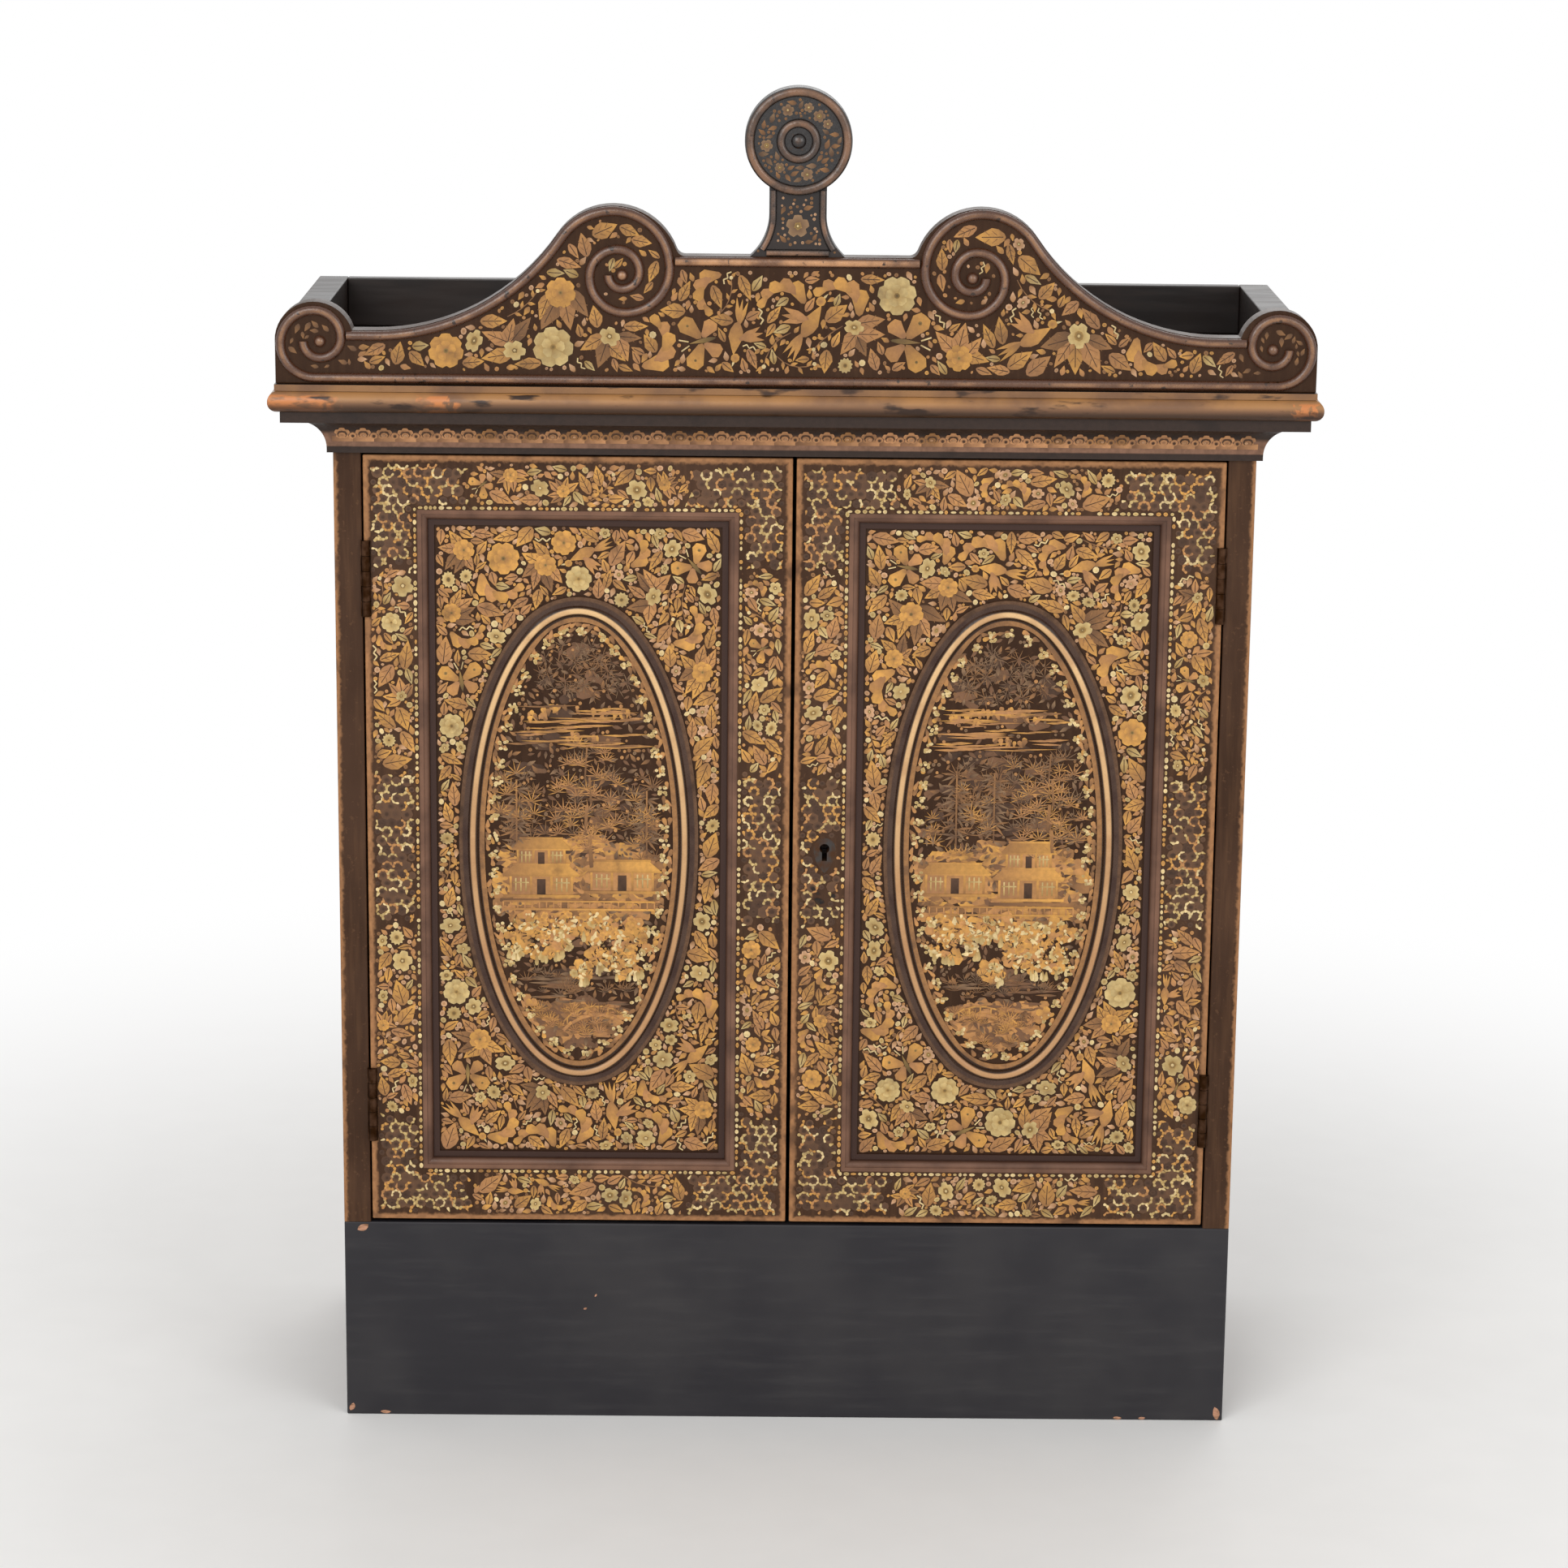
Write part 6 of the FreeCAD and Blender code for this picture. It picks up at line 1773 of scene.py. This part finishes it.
def branch(reach, bend, rng):
    """A rising stem with leaves to both sides, twigs that end in flowers, and a flower at its tip."""
    parts = []
    pace = 9.0
    count = int(reach / pace)
    u = v = 0.0
    turn = (math.pi + bend) / 2
    for step in range(count):
        turn += rng.uniform(-0.16, 0.16) - bend / count
        stem = ahead(pace / 2, turn, u, v)
        parts.append(("bar", *stem, turn, 1.1 * pace, 2.4 - 1.6 * step / count, "dull", 0))
        u, v = ahead(pace, turn, u, v)
        lean = turn + (0.9 if step % 2 else -0.9) + rng.uniform(-0.3, 0.3)
        if step % 4 == 3:
            twig = rng.uniform(16, 24)
            parts.append(("bar", *ahead(twig / 2, lean, u, v), lean, twig, 1.0, "dull", 0))
            flower = peony(rng.uniform(17, 22)) if rng.random() < 0.5 else blossom(rng.uniform(11, 14))
            parts += lifted(turned(flower, *ahead(twig, lean, u, v), rng.uniform(0, 6)), 5)
        else:
            size = rng.uniform(13, 20)
            leaf = veined_leaf(size, rng.uniform(0.38, 0.5), rng.choice(["gold", "amber", "dull"]))
            parts += lifted(turned(leaf, *ahead(0.55 * size, lean, u, v), lean), 1)
    return parts + lifted(turned(peony(20), u, v, 0), 5)


# The sides' layout in millimetres: insets of the two border lines and of the room inside them
BORDER_INSET, INNER_INSET, ROOM_INSET = 6, 15, 17
BORDER_PACE, LEAF_IN = 8, 4.5
SIDE_GAP = 3.0
# Each branch's root in shares of the side, its reach and its bend; each rock's place and size
BRANCHES = ((0.2, 0.09, 330, 0.7), (0.5, 0.08, 210, -0.9), (0.78, 0.1, 360, 0.5), (0.62, 0.1, 150, -0.4))
ROCKS = ((0.16, 40), (0.46, 30), (0.8, 46))
ROCK_RISE = 0.08


class CABINET_OT_sides(GildingOperator, bpy.types.Operator):
    """Gild the sides with flowering branches inside a leafy border"""

    bl_idname = "cabinet.sides"
    bl_label = "Side gilding"

    def gild(self):
        foot, top = front_box("plinth_front")[1][1], front_box("cornice_front")[0][1]
        for number, (hand, sign) in enumerate(zip(HANDS, (-1, 1))):
            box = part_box(f"side_{hand}")
            face = max(sign * corner.x for corner in box) / MM
            ends = sorted(sign * corner.y / MM for corner in box)
            low, high = np.array((ends[0], foot)), np.array((ends[1], top))
            gilding = self.start(f"side_{hand}_gilding", side_seat(face, sign), 60 + number)
            self.border(gilding, low + BORDER_INSET, high - BORDER_INSET)
            self.border(gilding, low + INNER_INSET, high - INNER_INSET, leafy=False)
            room, field = (Field(low, high, gilding.cell) for _ in range(2))
            for part in (room, field):
                part.set(rectangle(low + ROOM_INSET, high - ROOM_INSET), True)
            for share, rise, reach, bend in BRANCHES:
                root = low + (high - low) * (share, rise)
                self.grow(gilding, room, field, root, branch(reach, bend, gilding.rng))
            for share, size in ROCKS:
                foot_of_rock = low + (high - low) * (share, ROCK_RISE)
                self.grow(gilding, room, field, foot_of_rock, lifted(rock(size, "dull"), 3))
            gilding.gap = SIDE_GAP
            for motif, count in (
                (lambda rng: bird(rng.uniform(36, 44)), 3),
                (lambda rng: butterfly(rng.uniform(22, 28)), 4),
                (lambda rng: sprig(rng.uniform(22, 30), rng.uniform(0.4, 1.2), 6), 12),
                (lambda rng: blossom(rng.uniform(8, 11)), 12),
                (sown("leaf", 7, 11, 0.5, "gold", "amber"), 50),
                (sown("dot", 1.8, 3, 1, "peach", "pale", "dull"), 90),
            ):
                gilding.scatter(field, motif, count, light=0.85)
            gilding.build(self.material, "carcase")

    def grow(self, gilding, room, field, place, parts):
        """Lay the parts that stay in the room, and take their cells from the field."""
        for part in turned(parts, *place, 0):
            if room.holds(gilding.outline(part)):
                gilding.lay([part], 0.9)
                field.set(gilding.outline(part), False)

    def border(self, gilding, low, high, leafy=True):
        """A thin line along a rectangle, with a row of leaves inside it if it is leafy."""
        for start, turn, reach in rectangle_sides(low, high):
            count = round(reach / BORDER_PACE)
            for step in range(count):
                place = ahead((step + 0.5) * reach / count, turn, *start)
                gilding.lay([("bar", *place, turn, reach / count, 0.9, "amber", 0)], 0.85)
                if leafy and 0 < step < count - 1:
                    place = ahead(LEAF_IN, turn + QUARTER, *place)
                    gilding.lay([("leaf", *place, turn + 0.6 * (-1) ** step, 6.5, 2.6, "amber", 0)], 0.85)


# Chips on the plinth: place, turn, length and width in millimetres
PLINTH_CHIPS = (
    (-239.4, 112.6, 0.5, 7, 4),
    (-247, 4.5, 1.2, 5, 3),
    (-228, 1.6, 0, 6, 2),
    (246.5, 4.5, 1.8, 8, 4),
    (190, 1.2, 0, 5, 1.8),
    (204, 1.2, 0.1, 4, 1.6),
    (-114, 65, 0.4, 2.2, 1.2),
    (-108, 73, 1.1, 2.0, 1.0),
)
# Pits under the keyhole: to the right of its middle, below its foot, length and width in millimetres
KEYHOLE_PITS = ((-6, 9, 3.4, 2.2), (-2.6, 16, 6, 3.2), (5.2, 13, 2.6, 2.6), (-3.4, 11.6, 2.4, 1.6))


class CABINET_OT_wear(GildingOperator, bpy.types.Operator):
    """Chip the plinth where it has been knocked, and pit the lacquer under the keyhole"""

    bl_idname = "cabinet.wear"
    bl_label = "Chips"

    def gild(self):
        bare = bare_wood("chipped_wood", self.colours)
        chips = self.start("plinth_chips", front_seat(front_box("plinth_front")[2]), 70)
        for chip in PLINTH_CHIPS:
            chips.lay([("chip", *chip, "wood", 0)])
        chips.build(bare, "carcase", "inner_wood")
        low, high, _ = front_box("escutcheon")
        middle = (low[0] + high[0]) / 2
        pits = self.start("keyhole_chips", front_seat(front_box("right_meeting_stile")[2]), 71)
        for right, below, long, wide in KEYHOLE_PITS:
            pits.lay([("chip", middle + right, low[1] - below, 0.1 * right, long, wide, "pit", 6)])
        pits.build(self.material, "right_door", "brown_lacquer")


class CABINET_PT_sidebar(bpy.types.Panel):
    """The cabinet's operators and values"""

    bl_label = "Lacquered cabinet"
    bl_space_type = "VIEW_3D"
    bl_region_type = "UI"
    bl_category = "Cabinet"

    def draw(self, context):
        for cls in OPERATORS:
            self.layout.operator(cls.bl_idname)
        scene = context.scene
        for group in (scene.cabinet_colours, scene.cabinet_sizes, scene.cabinet_camera):
            for name in group.__annotations__:
                self.layout.prop(group, name)


OPERATORS = (
    CABINET_OT_stage,
    CABINET_OT_boards,
    CABINET_OT_finishes,
    CABINET_OT_panels,
    CABINET_OT_door_frames,
    CABINET_OT_ovals,
    CABINET_OT_gallery,
    CABINET_OT_cornice,
    CABINET_OT_sides,
    CABINET_OT_wear,
)
CLASSES = (CabinetColours, CabinetSizes, CabinetCamera, *OPERATORS, CABINET_PT_sidebar)


def register():
    for cls in CLASSES:
        bpy.utils.register_class(cls)
    bpy.types.Scene.cabinet_colours = PointerProperty(type=CabinetColours)
    bpy.types.Scene.cabinet_sizes = PointerProperty(type=CabinetSizes)
    bpy.types.Scene.cabinet_camera = PointerProperty(type=CabinetCamera)


def unregister():
    del bpy.types.Scene.cabinet_camera
    del bpy.types.Scene.cabinet_sizes
    del bpy.types.Scene.cabinet_colours
    for cls in reversed(CLASSES):
        bpy.utils.unregister_class(cls)


def main():
    register()
    bpy.ops.cabinet.stage()
    bpy.ops.cabinet.boards()
    bpy.ops.cabinet.finishes()
    bpy.ops.cabinet.panels()
    bpy.ops.cabinet.door_frames()
    bpy.ops.cabinet.ovals()
    bpy.ops.cabinet.gallery()
    bpy.ops.cabinet.cornice()
    bpy.ops.cabinet.sides()
    bpy.ops.cabinet.wear()
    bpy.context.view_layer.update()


if __name__ == "__main__":
    main()
